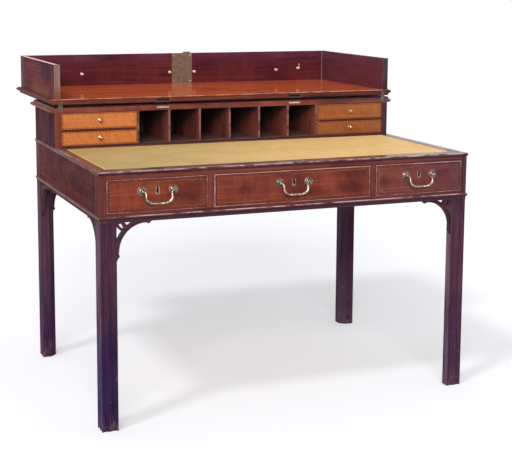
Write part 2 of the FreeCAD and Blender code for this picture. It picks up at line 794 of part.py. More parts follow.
leaf_y = ("Place.cabinet_front", "Place.axis + Size.knuckle_radius")
low_leaf_z = ("Place.cabinet_top - Size.leaf_length", "Place.axis_height")
high_leaf_z = ("Place.axis_height", "Place.panel_low + Size.leaf_length")
low_seats, high_seats, low_leaves, high_leaves = [], [], [], []
for side in ("left", "right"):
    centre = f"{mirrored(side)} * Place.hinge_centre"
    ends = about(centre, "Size.hinge_width")
    middle = about(centre, "Place.knuckle_length")
    low_plate_z = (low_leaf_z[0], "Place.cabinet_top")
    high_plate_z = ("Place.panel_low", high_leaf_z[1])
    low_seats.append(board(f"low_seat_{side}", ends, leaf_y, low_plate_z))
    high_seats.append(board(f"high_seat_{side}", ends, leaf_y, high_plate_z))
    pieces = [board(f"low_leaf_{side}", ends, leaf_y, low_plate_z),
              cross_rod(f"hinge_pin_{side}", "Size.hinge_pin_radius", ends,
                        "Place.axis", "Place.axis_height")]
    knuckle_spans = ((ends[0], f"{ends[0]} + Place.knuckle_length"),
                     (f"{ends[1]} - Place.knuckle_length", ends[1]))
    for number, span in enumerate(knuckle_spans):
        pieces.append(cross_rod(f"low_knuckle_{side}_{number}", "Size.knuckle_radius", span,
                                "Place.axis", "Place.axis_height"))
        pieces.append(board(f"low_neck_{side}_{number}", span, leaf_y, low_leaf_z))
    low_leaves.append(fused(f"low_hinge_{side}", pieces))
    upper = fused(f"high_hinge_solid_{side}", [
        cross_rod(f"high_knuckle_{side}", "Size.knuckle_radius", middle,
                  "Place.axis", "Place.axis_height"),
        board(f"high_neck_{side}", middle, leaf_y, high_leaf_z),
        board(f"high_leaf_{side}", ends, leaf_y, high_plate_z),
    ])
    hole = cross_rod(f"hinge_hole_{side}", "Size.hinge_pin_radius + Size.pin_clearance", ends,
                     "Place.axis", "Place.axis_height")
    high_leaves.append(cut(f"high_hinge_{side}", upper, [hole]))

tenon_seats, tenon_pieces, mortise_seats, mortise_pieces = [], [], [], []
tenon_z = about("(Place.cabinet_top_low + Size.board_thick / 2)", "Size.tenon_thick")
mortise_height = "(Place.panel_low + Size.board_thick / 2)"
slot_size = "(Size.tenon_width + 2 * Size.mortise_clearance)"
slot_z = about(mortise_height, "(Size.tenon_thick + 2 * Size.mortise_clearance)")
plate_z = about(mortise_height, "Size.mortise_plate_width")
for side in ("left", "right"):
    centre = f"{mirrored(side)} * Size.tenon_offset"
    tenon_x = about(centre, "Size.tenon_width")
    tenon_end = "Place.cabinet_front + Size.tenon_let_in"
    tenon_seats.append(board(f"tenon_seat_{side}", tenon_x, ("Place.cabinet_front", tenon_end),
                             tenon_z))
    tenon_pieces.append(board(f"tenon_{side}", tenon_x,
                              ("Place.cabinet_front - Size.tenon_out", tenon_end), tenon_z))
    plate_x = about(centre, "Size.mortise_plate_length")
    plate_y = ("Place.cabinet_front", "Place.cabinet_front + Size.mortise_plate_thick")
    slot_x = about(centre, slot_size)
    slot_y = ("Place.cabinet_front", "Place.cabinet_front + Size.mortise_depth")
    mortise_seats.append(board(f"plate_seat_{side}", plate_x, plate_y, plate_z))
    mortise_seats.append(board(f"slot_{side}", slot_x, slot_y, slot_z))
    plate = board(f"plate_{side}", plate_x, plate_y, plate_z)
    opening = board(f"plate_slot_{side}", slot_x, slot_y, slot_z)
    mortise_pieces.append(cut(f"mortise_plate_{side}", plate, [opening]))

kept(cut("cabinet_top_cut", top_board, low_seats + tenon_seats), "cabinet_top")
kept(group("low_hinges", low_leaves), "hinge_leaves_lower")
kept(group("tenon_pair", tenon_pieces), "tenons")


# ---------------------------------------------------------------- lid

kept(cut("lid_panel_cut", panel_board, high_seats + mortise_seats), "lid_panel")
kept(group("high_hinges", high_leaves), "hinge_leaves_upper")
kept(group("mortise_plate_pair", mortise_pieces), "mortise_plates")
wall_rise = ("Place.panel_top", "Place.wall_top")
wall_start = "2 * Place.axis - Place.cabinet_front"
for side in ("left", "right"):
    kept(board(f"lid_{side}", from_end(side, "0", "Size.lid_wall"),
               (wall_start, "Place.lid_back_inside"), wall_rise), f"lid_wall_{side}")


def bore_along_y(name, radius, x, y, z):
    """A round cutter along Y, between two formulas."""
    bore = doc.addObject("Part::Cylinder", name)
    bore.Placement.Rotation = FreeCAD.Rotation(FreeCAD.Vector(1, 0, 0), -90)
    bore.setExpression("Radius", radius)
    bore.setExpression("Height", f"({y[1]}) - ({y[0]})")
    for axis, formula in zip("xyz", (x, y[0], z)):
        bore.setExpression(f"Placement.Base.{axis}", formula)
    return bore


lock_x = ("-Size.lock_width / 2", "Size.lock_width / 2")
case_y = ("Place.lid_back_inside", "Place.lid_back_inside + Size.lock_case_depth")
case_z = ("Place.wall_top - Size.lock_case_height", "Place.wall_top")
front_wall = board("lid_front", whole_x, ("Place.lid_back_inside", "Place.lid_back"), wall_rise)
key_y = ("Place.lid_back_inside - 2 * Size.lock_plate_out", "Place.lid_back + Size.cut_past")
key_at = ("-Size.bolt_offset / 2", "Place.wall_top - Size.lock_case_height / 2")
keyhole = bore_along_y("lid_keyhole", "Size.lid_key_radius", key_at[0], key_y, key_at[1])
lock_seat = board("lock_seat", lock_x, case_y, case_z)
kept(cut("lid_front_cut", front_wall, [lock_seat, keyhole]), "lid_wall_front")
plate = board("lid_lock_plate", lock_x,
              ("Place.lid_back_inside - Size.lock_plate_out", "Place.lid_back_inside"), wall_rise)
case = board("lid_lock_case", lock_x, case_y, case_z)
channel = board("lid_bolt_channel",
                about("Size.bolt_offset", "(Size.bolt_width + 2 * Size.slide_clearance)"),
                about("Place.bolt_run", "(Size.bolt_thick + 2 * Size.slide_clearance)"),
                ("Place.wall_top - Size.bolt_length - Size.bolt_room",
                 "Place.wall_top + Size.cut_past"))
key_bore = bore_along_y("lid_lock_keyhole", "Size.lid_key_radius", key_at[0], key_y, key_at[1])
kept(cut("lid_lock_cut", fused("lid_lock_solid", [plate, case]), [channel, key_bore]), "lid_lock")
kept(board("lid_bolt_bar", about("Size.bolt_offset", "Size.bolt_width"),
           about("Place.bolt_run", "Size.bolt_thick"),
           ("Place.wall_top + Size.bolt_throw - Size.bolt_length",
            "Place.wall_top + Size.bolt_throw")), "lid_bolt")


def turned(name, x, y, z, corners):
    """A piece turned round an axis along Y, from a half profile of radius and distance out."""
    body = new_body(name, x, y, z)
    profile = new_sketch(body, "profile", "top")
    draw(profile, corners)
    revolve(body, profile)
    return body


def stud(name, x, height):
    """A turned stud on the inside of the lid's front wall."""
    radius, out, neck = "Size.stud_radius", "Size.stud_out", "Size.stud_neck"
    plate, thick, head = "Size.stud_plate", "Size.stud_plate_thick", "Size.stud_head"
    return turned(name, x, "Place.lid_back_inside", height, [
        ("0", "0"),
        (plate, "0"),
        (plate, f"-{thick}"),
        (neck, f"-{thick} - ({plate} - {neck}) / 3"),
        (neck, f"-{out} + 1.25 * {head}"),
        (radius, f"-{out} + {head}", (f"1.15 * {radius}", f"-{out} + {head} / 2")),
        (f"0.7 * {radius}", f"-{out}"),
        ("0", f"-{out}"),
    ])


studs = []
for side in ("left", "right"):
    for which in ("outer", "inner"):
        studs.append(stud(f"stud_{which}_{side}", f"{mirrored(side)} * Size.stud_{which}",
                          "Place.panel_top + Size.stud_height"))
    hook_x = f"{mirrored(side)} * Size.hook_offset"
    hook_z = "Place.panel_top + Size.hook_height"
    spike = rod(f"hook_spike_{side}", "Size.hook_spike_radius", hook_z,
                f"{hook_z} + Size.hook_spike",
                (hook_x, "Place.lid_back_inside - Size.stud_out + Size.hook_spike_radius"))
    studs.append(fused(f"hook_{side}", [stud(f"hook_base_{side}", hook_x, hook_z), spike]))
kept(group("studs", studs), "lid_studs")


# ---------------------------------------------------------------- frieze drawers

def bail(name, centre):
    """A swan-neck bail: pins into the posts' heads, two bowed arms, and a turned grip below."""
    body = new_body(f"{name}_arms", centre, run("-Size.pivot_out"), "Place.handle_z")
    neck, shoulder, corner = "Place.bail_neck", "Size.bail_shoulder", "Size.bail_corner"
    lean, slope, bow = "(Size.bail_lean * 1 deg)", "(Size.bail_slope * 1 deg)", "Place.bail_bow"
    pin = "(Size.handle_spread / 2 - Size.bail_pin_in)"
    over = f"((90 deg - {lean}) / 2)"
    mean = f"(({lean} - {slope}) / 2)"
    down = f"((90 deg + {slope}) / 2)"
    knee = (f"-{neck} + {shoulder} * cos({lean})", "-Place.bail_knee")
    heel = (f"{knee[0]} + {bow} * (cos({lean}) - cos({slope}))",
            "-Size.bail_drop + Place.bail_heel")
    foot = f"{heel[0]} + {corner} * cos({slope})"
    half = [
        (f"-{pin}", "0"),
        (f"-{neck}", "0", (f"-{neck} + {shoulder} * cos({over})",
                           f"-{shoulder} * (1 - sin({over}))")),
        (*knee, (f"{knee[0]} + {bow} * (cos({lean}) - cos({mean}))",
                 f"{knee[1]} - {bow} * (sin({lean}) - sin({mean}))")),
        (*heel, (f"{heel[0]} + {corner} * (cos({slope}) - cos({down}))",
                 f"{heel[1]} - {corner} * (sin({down}) - sin({slope}))")),
        (foot, "-Size.bail_drop"),
    ]
    other = []
    for index in range(len(half) - 1, -1, -1):
        point = [f"-({half[index][0]})", half[index][1]]
        if index and len(half[index - 1]) == 3:
            middle = half[index - 1][2]
            point.append((f"-({middle[0]})", middle[1]))
        other.append(tuple(point))
    path = new_sketch(body, "path", "front")
    draw(path, half + other, closed=False)
    section = new_sketch(body, "section", "side", f"-{pin}")
    draw_circle(section, "0", "0", "Size.bail_radius")
    doc.recompute()
    sweep(body, section, path)

    grip = new_body(f"{name}_grip", centre, run("-Size.pivot_out"),
                    "Place.handle_z - Size.bail_drop")
    thick, ring = "Size.grip_radius", "Size.collar_radius"
    tail, full, neck = "0.85 * Size.bail_radius", f"0.8 * {thick}", "1.1 * Size.bail_radius"
    gap, outer = "Size.collar_gap / 2", "(Size.collar_gap / 2 + Size.collar_width)"
    right = [
        (gap, neck, (f"{gap} + Size.collar_width / 2", ring)),
        (outer, neck),
        (outer, full, (f"(2 * {outer} - ({foot})) / 3", thick)),
        (f"-({foot})", tail),
    ]
    left = [
        (foot, tail, (f"(({foot}) - 2 * {outer}) / 3", thick)),
        (f"-{outer}", full),
        (f"-{outer}", neck, (f"-{gap} - Size.collar_width / 2", ring)),
        (f"-{gap}", neck),
    ]
    profile = new_sketch(grip, "profile", "front")
    draw(profile, [(foot, "0")] + left + right + [(f"-({foot})", "0")])
    revolve(grip, profile, "H_Axis")
    return fused(name, [body, grip])


def rosette(name, x):
    """A turned rosette, a ring round a hollow and a boss, with the ball-headed post in it."""
    radius, edge, ring = "Size.rosette_radius", "Size.rosette_edge", "Size.rosette_ring"
    neck, head, out = "Size.post_radius", "Size.post_head", "Size.pivot_out"
    dish, boss = f"({radius} - {ring})", f"({radius} - {ring} - Size.rosette_hollow)"
    return turned(f"{name}_solid", x, "Place.front", "Place.handle_z", [
        ("0", "0"),
        (radius, "0"),
        (radius, f"-{edge}", (f"{radius} - {ring} / 2", "-Size.rosette_ring_out")),
        (dish, f"-{edge}", (f"({dish} + {boss}) / 2", f"-{edge} / 2")),
        (boss, f"-{edge}", (f"{boss} * 0.8 + {neck} * 0.2", "-Size.rosette_boss_out * 0.75")),
        (neck, "-Size.rosette_boss_out"),
        (neck, f"-{out} + sqrt({head} ^ 2 - {neck} ^ 2)", (head, f"-{out}")),
        ("0", f"-{out} - {head}"),
    ])


def drawer_box(name, centre, width, front, length, rise, walls):
    """Two sides, a back and a bottom, as separate boards behind the front."""
    side, bottom = walls
    rear = f"{front} + {length}"
    outside, inside = about(centre, width), about(centre, f"({width} - 2 * {side})")
    low, high = rise
    return [
        board(f"{name}_side_a", (outside[0], inside[0]), (front, rear), (low, high)),
        board(f"{name}_side_b", (inside[1], outside[1]), (front, rear), (low, high)),
        board(f"{name}_rear", inside, (f"{rear} - {side}", rear), (f"{low} + {bottom}", high)),
        board(f"{name}_floor", inside, (front, rear), (low, f"{low} + {bottom}")),
    ]


def keyhole_shape(name, centre, forward, length, band=None):
    """A round-bottomed upright shape of the keyhole plate, or with a band its thin U alone."""
    body = new_body(name, centre, forward, "Place.handle_z")
    face = new_sketch(body, "face", "front")
    half, tall = "Size.escutcheon_width / 2", "Size.escutcheon_height / 2"
    low = f"-{tall} + {half}"
    outline = [(f"-{half}", tall), (f"-{half}", low, ("0", f"-{tall}")), (half, low), (half, tall)]
    if band:
        slot = f"({half} - {band})"
        outline += [(slot, tall), (slot, low, ("0", f"{low} - {slot}")), (f"-{slot}", low),
                    (f"-{slot}", tall)]
    draw(face, outline)
    pad(body, face, length, True)
    return body


def key_slot(name, centre):
    """A cutter of the slot inside the plate's U, through the drawer's front to the lock."""
    body = new_body(name, centre, run("-Size.cut_past"), "Place.handle_z")
    face = new_sketch(body, "face", "front")
    slot = "(Size.escutcheon_width / 2 - Size.escutcheon_band)"
    tall = "Size.escutcheon_height / 2"
    low = f"-{tall} + Size.escutcheon_width / 2"
    draw(face, [(f"-{slot}", tall), (f"-{slot}", low, ("0", f"{low} - {slot}")), (slot, low),
                (slot, tall)])
    pad(body, face, "Size.cut_past + Size.drawer_front - Size.case_depth", True)
    return body


def frieze_drawer(side, centre, opening):
    """One drawer: its front, its box, its brasses, its bail and the bolt of its lock."""
    name = f"drawer_{side}"
    low, high = "Place.opening_low + Size.drawer_lift", "Place.opening_top - Size.drawer_gap"
    width = f"({opening} - 2 * Size.drawer_gap)"
    front_x = about(centre, width)
    inner = ("Place.front", run("Size.drawer_front"))
    wood = board(f"{name}_wood", front_x, inner, (low, high))
    rim = new_body(f"{name}_rim", centre, "Place.front", low)
    rim_face = new_sketch(rim, "face", "front")
    tall = f"({high} - ({low}))"
    draw(rim_face, [(f"-{width} / 2", "0"), (f"{width} / 2", "0"), (f"{width} / 2", tall),
                    (f"-{width} / 2", tall)])
    bead = "Size.cock_bead"
    draw(rim_face, [(f"-{width} / 2 + {bead}", bead), (f"{width} / 2 - {bead}", bead),
                    (f"{width} / 2 - {bead}", f"{tall} - {bead}"),
                    (f"-{width} / 2 + {bead}", f"{tall} - {bead}")])
    raised = pad(rim, rim_face, "Size.cock_bead_out")
    doc.recompute()
    crown = -value("Size.cock_bead_out")
    rounded = rim.newObject("PartDesign::Fillet", f"{name}_rim_round")
    rounded.Base = (raised, [f"Edge{number}" for number, edge in enumerate(raised.Shape.Edges, 1)
                             if abs(edge.BoundBox.YMax - crown) < LEVEL])
    rounded.setExpression("Radius", "Size.cock_bead_round")
    case_run = ("Place.front + Size.drawer_front - Size.case_depth", run("Size.drawer_front"))
    case_rise = (f"{high} - Size.case_height", high)
    case_x = about(centre, "Size.case_width")
    seat = board(f"{name}_lock_seat", case_x, case_run, case_rise)
    plate_seat = keyhole_shape(f"{name}_escutcheon_seat", centre, "Place.front",
                               "Size.escutcheon_thick")
    kept(cut(f"{name}_front_cut", fused(f"{name}_front_solid", [wood, rim]),
             [seat, plate_seat, key_slot(f"{name}_key_slot", centre)]), f"{name}_front")

    sides_high = f"{high} - Size.drawer_drop"
    kept(group(f"{name}_boards",
               drawer_box(name, centre, width, run("Size.drawer_front"), "Size.drawer_length",
                          (low, sides_high), ("Size.drawer_side", "Size.drawer_bottom"))),
         f"{name}_box")

    posts = []
    for hand in ("left", "right"):
        x = f"{centre} + {mirrored(hand)} * Size.handle_spread / 2"
        solid = rosette(f"{name}_rosette_{hand}", x)
        blind, mouth = "(Size.bail_pin_in - Size.slide_clearance)", "Size.post_head"
        ends = (f"{x} + {blind}", f"{x} + {mouth}") if hand == "left" else (
            f"{x} - {mouth}", f"{x} - {blind}")
        socket = cross_rod(f"{name}_socket_{hand}", "Size.bail_radius + Size.pin_clearance",
                           ends, run("-Size.pivot_out"), "Place.handle_z")
        posts.append(cut(f"{name}_post_{hand}", solid, [socket]))
    plate = keyhole_shape(f"{name}_escutcheon", centre, "Place.front", "Size.escutcheon_thick",
                          "Size.escutcheon_band")
    case_bore = bore_along_y(f"{name}_case_bore", "Size.keyhole_radius", centre,
                             ("Place.front", run("Size.drawer_front + Size.cut_past")),
                             "Place.handle_z")
    slot = board(f"{name}_bolt_slot",
                 about(centre, "(Size.dbolt_width + 2 * Size.slide_clearance)"),
                 about(run("Place.dbolt_run"), "(Size.dbolt_thick + 2 * Size.slide_clearance)"),
                 (f"{high} - Size.dbolt_length - Size.slide_clearance",
                  f"{high} + Size.cut_past"))
    case = cut(f"{name}_case", board(f"{name}_case_solid", case_x, case_run, case_rise),
               [slot, case_bore])
    kept(group(f"{name}_metal", posts + [plate, case]), f"{name}_brasses")
    kept(bail(f"{name}_bail_rod", centre), f"{name}_bail")
    kept(board(f"{name}_bolt_bar", about(centre, "Size.dbolt_width"),
               about(run("Place.dbolt_run"), "Size.dbolt_thick"),
               (f"{high} - Size.dbolt_length", high)), f"{name}_bolt")


for side, (centre, opening) in DRAWERS.items():
    frieze_drawer(side, centre, opening)


# ---------------------------------------------------------------- small drawers

def small_drawer(side, level, low, high):
    """A veneered drawer beside the pigeonholes, with one turned knob."""
    name = f"small_{side}_{level}"
    centre = f"({mirrored(side)} * Place.small_centre)"
    width = "(Size.small_opening - 2 * Size.small_gap)"
    bottom, top = f"{low} + Size.drawer_lift", f"{high} - 2 * Size.small_gap"
    front_y = "Place.cabinet_front"
    face = board(f"{name}_face", about(centre, width),
                 (front_y, f"{front_y} + Size.small_front"), (bottom, top))
    boards = drawer_box(name, centre, width, f"{front_y} + Size.small_front",
                        "Size.small_length - Size.small_front",
                        (bottom, f"{top} - Size.small_drop"),
                        ("Size.small_side", "Size.small_bottom"))
    kept(group(f"{name}_boards", [face] + boards), name)
    plate, ball, out = "Size.knob_plate", "Size.knob_radius", "Size.knob_out"
    neck, thick = "Size.knob_neck", "Size.knob_plate_thick"
    knob = turned(f"{name}_turned", centre, front_y, f"(({low}) + ({high})) / 2", [
        ("0", "0"),
        (plate, "0"),
        (plate, f"-{thick}"),
        (neck, f"-{thick} - ({plate} - {neck}) / 3"),
        (neck, f"-{out} + {ball} * 1.5"),
        (ball, f"-{out} + {ball} * 0.8", (f"{ball} * 0.75", f"-{out} + {ball} * 0.2")),
        ("0", f"-{out}"),
    ])
    kept(knob, f"{name}_knob")


for side in ("left", "right"):
    small_drawer(side, "lower", "Place.cabinet_low", "Place.shelf_low")
    small_drawer(side, "upper", "Place.shelf_low + Size.partition", "Place.cabinet_top_low")


# ---------------------------------------------------------------- check and write

doc.recompute()
for piece in doc.Objects:
    if "Invalid" in piece.State or "Error" in piece.State:
        raise RuntimeError(f"{piece.Label} did not compute: {piece.State}")
for piece in subparts:
    shape = piece.Shape
    if shape.isNull() or not shape.isValid() or not shape.Solids:
        raise RuntimeError(f"{piece.Label} has no valid solid")
os.makedirs("parts", exist_ok=True)
for piece in subparts:
    piece.Shape.exportStep(f"parts/{piece.Label}.step")
print(len(subparts), "sub-parts written")
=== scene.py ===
import math
from functools import partial

import bmesh
import bpy
import numpy as np
from mathutils import Matrix, Vector


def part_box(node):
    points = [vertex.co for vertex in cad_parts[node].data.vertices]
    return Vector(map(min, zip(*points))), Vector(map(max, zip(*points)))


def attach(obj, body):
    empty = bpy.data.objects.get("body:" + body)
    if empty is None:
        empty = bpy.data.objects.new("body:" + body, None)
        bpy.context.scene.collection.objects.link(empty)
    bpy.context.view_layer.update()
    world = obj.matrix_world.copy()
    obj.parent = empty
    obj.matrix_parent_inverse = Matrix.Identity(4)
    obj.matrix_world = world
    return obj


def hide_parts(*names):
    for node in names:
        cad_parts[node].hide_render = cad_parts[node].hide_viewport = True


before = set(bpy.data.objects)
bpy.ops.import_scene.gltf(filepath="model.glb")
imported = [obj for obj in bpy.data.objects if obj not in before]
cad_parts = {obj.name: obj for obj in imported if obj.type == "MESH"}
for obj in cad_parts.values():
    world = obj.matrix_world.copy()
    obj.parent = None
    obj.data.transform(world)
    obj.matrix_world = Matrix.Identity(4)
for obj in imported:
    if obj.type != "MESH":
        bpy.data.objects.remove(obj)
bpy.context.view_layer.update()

# ---------- viewpoint
# Someone standing a little to the left of the table, about three and a half metres off, with
# their eye at 1.3 m.  The picture plane is dropped a little, as with a view camera.
eye = Vector((-1.5047, -3.8939, 1.3096))
turn, dip, lean = math.radians(-22.331), math.radians(8.184), math.radians(0.328)
picture = (512, 456)
horizon_row = 160
scene = bpy.context.scene


def new_object(name, data):
    """An object in the scene, at the origin."""
    made = bpy.data.objects.new(name, data)
    scene.collection.objects.link(made)
    return made


viewer = bpy.data.cameras.new("viewer")
viewer.sensor_width = 36
viewer.lens = 85.9
viewer.shift_y = (horizon_row - picture[1] / 2) / picture[0]
viewer_object = new_object("viewer", viewer)
viewer_object.matrix_world = (
    Matrix.Translation(eye)
    @ Matrix.Rotation(turn, 4, "Z")
    @ Matrix.Rotation(math.pi / 2 - dip, 4, "X")
    @ Matrix.Rotation(lean, 4, "Z")
)
scene.camera = viewer_object
scene.view_settings.view_transform = "Standard"


# ---------- the room
# A white paper floor and a white room, lit by two soft lamps on the left of the table: a high
# one that throws the leg shadows, and a low one from the front that reaches into the cabinet.

def put(tree, kind, settings=None, **sockets):
    """Add a shader node; each socket gets a value, or is joined to another node's output.

    A socket is named with _ for its spaces, or with _ and its number.
    """
    item = tree.nodes.new(kind)
    for name, setting in (settings or {}).items():
        setattr(item, name, setting)
    for name, content in sockets.items():
        socket = item.inputs[int(name[1:]) if name[0] == "_" else name.replace("_", " ")]
        if isinstance(content, bpy.types.NodeSocket):
            tree.links.new(content, socket)
        else:
            socket.default_value = (*content, 1) if socket.type == "RGBA" else content
    return item


def reckon(tree, operation, *terms, clamp=False):
    """A math node's result over numbers or sockets."""
    item = put(tree, "ShaderNodeMath", {"operation": operation, "use_clamp": clamp},
               **{f"_{n}": term for n, term in enumerate(terms)})
    return item.outputs[0]


def spread(tree, value, low, high):
    """A value from 0 to 1, spread between low and high."""
    return put(tree, "ShaderNodeMapRange", Value=value, To_Min=low, To_Max=high).outputs[0]


def new_material(name):
    """An empty node material, its tree and the object's own coordinates in it."""
    material = bpy.data.materials.new(name)
    material.use_nodes = True
    tree = material.node_tree
    tree.nodes.clear()
    return material, tree, put(tree, "ShaderNodeTexCoord").outputs["Object"]


def shown(tree):
    """1 for what the camera sees, straight, mirrored or through glass, and 0 for plain light."""
    path = put(tree, "ShaderNodeLightPath").outputs
    return reckon(tree, "MAXIMUM", path["Is Camera Ray"],
                  reckon(tree, "MAXIMUM", path["Is Glossy Ray"], path["Is Transmission Ray"]))


PAPER, PAPER_HALF, PAPER_GLOW = (0.788, 0.792, 0.832), 60.0, 0.29
paper, tree, _ = new_material("paper_floor")
matt = put(tree, "ShaderNodeBsdfDiffuse", Color=PAPER)
glow = put(tree, "ShaderNodeEmission", Color=(1, 1, 1),
           Strength=reckon(tree, "MULTIPLY", shown(tree), PAPER_GLOW))
both = put(tree, "ShaderNodeAddShader", _0=matt.outputs[0], _1=glow.outputs[0])
put(tree, "ShaderNodeOutputMaterial", Surface=both.outputs[0])
floor_mesh = bpy.data.meshes.new("floor")
floor_mesh.from_pydata([(x * PAPER_HALF, y * PAPER_HALF, 0)
                        for x, y in ((-1, -1), (1, -1), (1, 1), (-1, 1))], [], [(0, 1, 2, 3)])
floor_mesh.materials.append(paper)
new_object("floor", floor_mesh)

ROOM_LIGHT = 0.5
room = bpy.data.worlds.new("white_room")
room.use_nodes = True
scene.world = room
tree = room.node_tree
tree.nodes.clear()
sky = put(tree, "ShaderNodeBackground", Color=(1, 1, 1),
          Strength=spread(tree, shown(tree), ROOM_LIGHT, 1.0))
put(tree, "ShaderNodeOutputWorld", Surface=sky.outputs[0])

# Which way each lamp's light travels, its power, and how many degrees wide it looks.
LAMPS = {
    "high_lamp": ((0.513, 0.3, -0.8), 0.8, 9.0),
    "front_lamp": ((0.35, 0.84, -0.42), 1.9, 34.0),
}
for name, (travel, power, width) in LAMPS.items():
    lamp = bpy.data.lights.new(name, "SUN")
    lamp.energy = power
    lamp.angle = math.radians(width)
    lamp_object = new_object(name, lamp)
    lamp_object.rotation_mode = "QUATERNION"
    lamp_object.rotation_quaternion = Vector(travel).to_track_quat("-Z", "Y")


# ---------- legs
# Four square mahogany legs, moulded on their outer faces and chamfered inside, each cut from
# one straight plank and polished very dark.  Their feet are scuffed from two centuries of mops.

def new_group(name, inputs, outputs, make):
    """A shader node group; make takes its tree and its inputs, and gives its outputs in order.

    An input is given by its kind, or by the number that it starts from.
    """
    group = bpy.data.node_groups.new(name, "ShaderNodeTree")
    for socket, start in inputs.items():
        kind = start if isinstance(start, str) else "Float"
        made = group.interface.new_socket(socket, in_out="INPUT", socket_type=f"NodeSocket{kind}")
        if kind == "Float":
            made.default_value = start
    for socket, kind in outputs.items():
        group.interface.new_socket(socket, in_out="OUTPUT", socket_type=f"NodeSocket{kind}")
    given = group.nodes.new("NodeGroupInput").outputs
    result = group.nodes.new("NodeGroupOutput").inputs
    for content, socket in zip(make(group, given), result):
        group.links.new(content, socket)
    return group


def effect(tree, group, **values):
    """A node group placed in a material with its own values, and what it puts out."""
    return put(tree, "ShaderNodeGroup", {"node_tree": group}, **values).outputs


def stretched_noise(tree, place, scale, detail=3.0, rough=0.55, warp=0.0):
    """Noise over a place scaled by its own amount along each axis."""
    scaled = put(tree, "ShaderNodeVectorMath", {"operation": "MULTIPLY"}, _0=place, _1=scale)
    noise = put(tree, "ShaderNodeTexNoise", Vector=scaled.outputs[0], Scale=1.0, Detail=detail,
                Roughness=rough, Distortion=warp)
    return noise.outputs["Fac"]


def ramp(tree, value, low, high):
    """A smooth step from 0 at low to 1 at high."""
    step = put(tree, "ShaderNodeMapRange", {"interpolation_type": "SMOOTHSTEP"},
               Value=value, From_Min=low, From_Max=high)
    return step.outputs[0]


def mottled(tree, place, scale, low, high, *noise):
    """Patches: the smooth step of a stretched noise of its own detail, roughness and warp."""
    return ramp(tree, stretched_noise(tree, place, scale, *noise), low, high)


def plus(tree, first, second):
    """first + second."""
    return reckon(tree, "ADD", first, second)


def minus(tree, first, second):
    """first - second."""
    return reckon(tree, "SUBTRACT", first, second)


def apart(tree, value, place=None):
    """How far a value lies from a place, to either side: |value - place|, or |value|."""
    return reckon(tree, "ABSOLUTE", value if place is None else minus(tree, value, place))


def times(tree, *terms):
    """The product of several masks."""
    product = terms[0]
    for term in terms[1:]:
        product = reckon(tree, "MULTIPLY", product, term, clamp=True)
    return product


def laid(tree, colour, over, *masks, way="MIX"):
    """One colour laid over another, by the product of some masks."""
    return put(tree, "ShaderNodeMix", {"data_type": "RGBA", "blend_type": way},
               _0=times(tree, *masks), _6=colour, _7=over).outputs[2]


def tinted(tree, colour, tint, *masks):
    """A colour multiplied by a tint, by the product of some masks."""
    return laid(tree, colour, tint, *masks, way="MULTIPLY")


def sawn_plank(tree, given):
    """A plank's colour and the height of its grain, which runs along X.

    Streaks and pores are long and thin, ribbons are broad bands along the grain, and the flame
    is a soft mottle across it.  The middle tone turns pale by 0.75 * streaks * (0.35 + ribbons)
    and by the flame, and deep by the clouds and the pores.  Height is 0.3 * streaks - pores.
    """
    place = given["Place"]
    streaks = stretched_noise(tree, place, (4, 150, 150), 4.0, 0.6, 0.4)
    ribbons = mottled(tree, place, (1.6, 26, 26), 0.35, 0.65, 2.0, 0.5, 0.8)
    flame = mottled(tree, place, (26, 7, 7), 0.42, 0.7, 3.0, 0.5, 1.2)
    clouds = mottled(tree, place, (4.5, 11, 11), 0.46, 0.7, 3.0, 0.5, 0.6)
    pores = mottled(tree, place, (45, 1300, 1300), 0.6, 0.72, 1.0)
    light_part = reckon(tree, "MULTIPLY", ramp(tree, streaks, 0.38, 0.66),
                        plus(tree, 0.35, ribbons))
    wood = laid(tree, given["Mid"], given["Pale"], light_part, 0.75)
    wood = laid(tree, wood, given["Pale"], flame, given["Flame"])
    wood = laid(tree, wood, given["Deep"], clouds, given["Clouds"])
    wood = laid(tree, wood, given["Deep"], pores, 0.55)
    return wood, minus(tree, reckon(tree, "MULTIPLY", streaks, 0.3), pores)


plank_group = new_group(
    "sawn_plank", {"Place": "Vector", "Pale": "Color", "Mid": "Color", "Deep": "Color",
                   "Flame": 0.5, "Clouds": 0.5},
    {"Color": "Color", "Height": "Float"}, sawn_plank)


def old_polish(tree, given):
    """Old polish: cloudy, thinner in places, with fine hairline scratches in two directions.

    Roughness goes from smooth to rough with the smears, and is 0.25 more in a scratch.
    """
    smears = mottled(tree, given["Place"], (9, 14, 14), 0.35, 0.7)
    hairs = reckon(tree, "MAXIMUM",
                   mottled(tree, given["Place"], (7, 420, 60), 0.72, 0.78, 1.0),
                   mottled(tree, given["Place"], (260, 9, 33), 0.74, 0.8, 1.0))
    dull = spread(tree, smears, given["Smooth"], given["Rough"])
    return [plus(tree, dull, reckon(tree, "MULTIPLY", hairs, 0.25))]


polish_group = new_group("old_polish", {"Place": "Vector", "Smooth": 0.16, "Rough": 0.34},
                         {"Roughness": "Float"}, old_polish)
ARRIS = 0.0014


def open_air(tree, reach):
    """1 where a surface is open to the air, less in its hollows."""
    return put(tree, "ShaderNodeAmbientOcclusion", {"samples": 6, "only_local": True},
               Distance=reach).outputs["AO"]


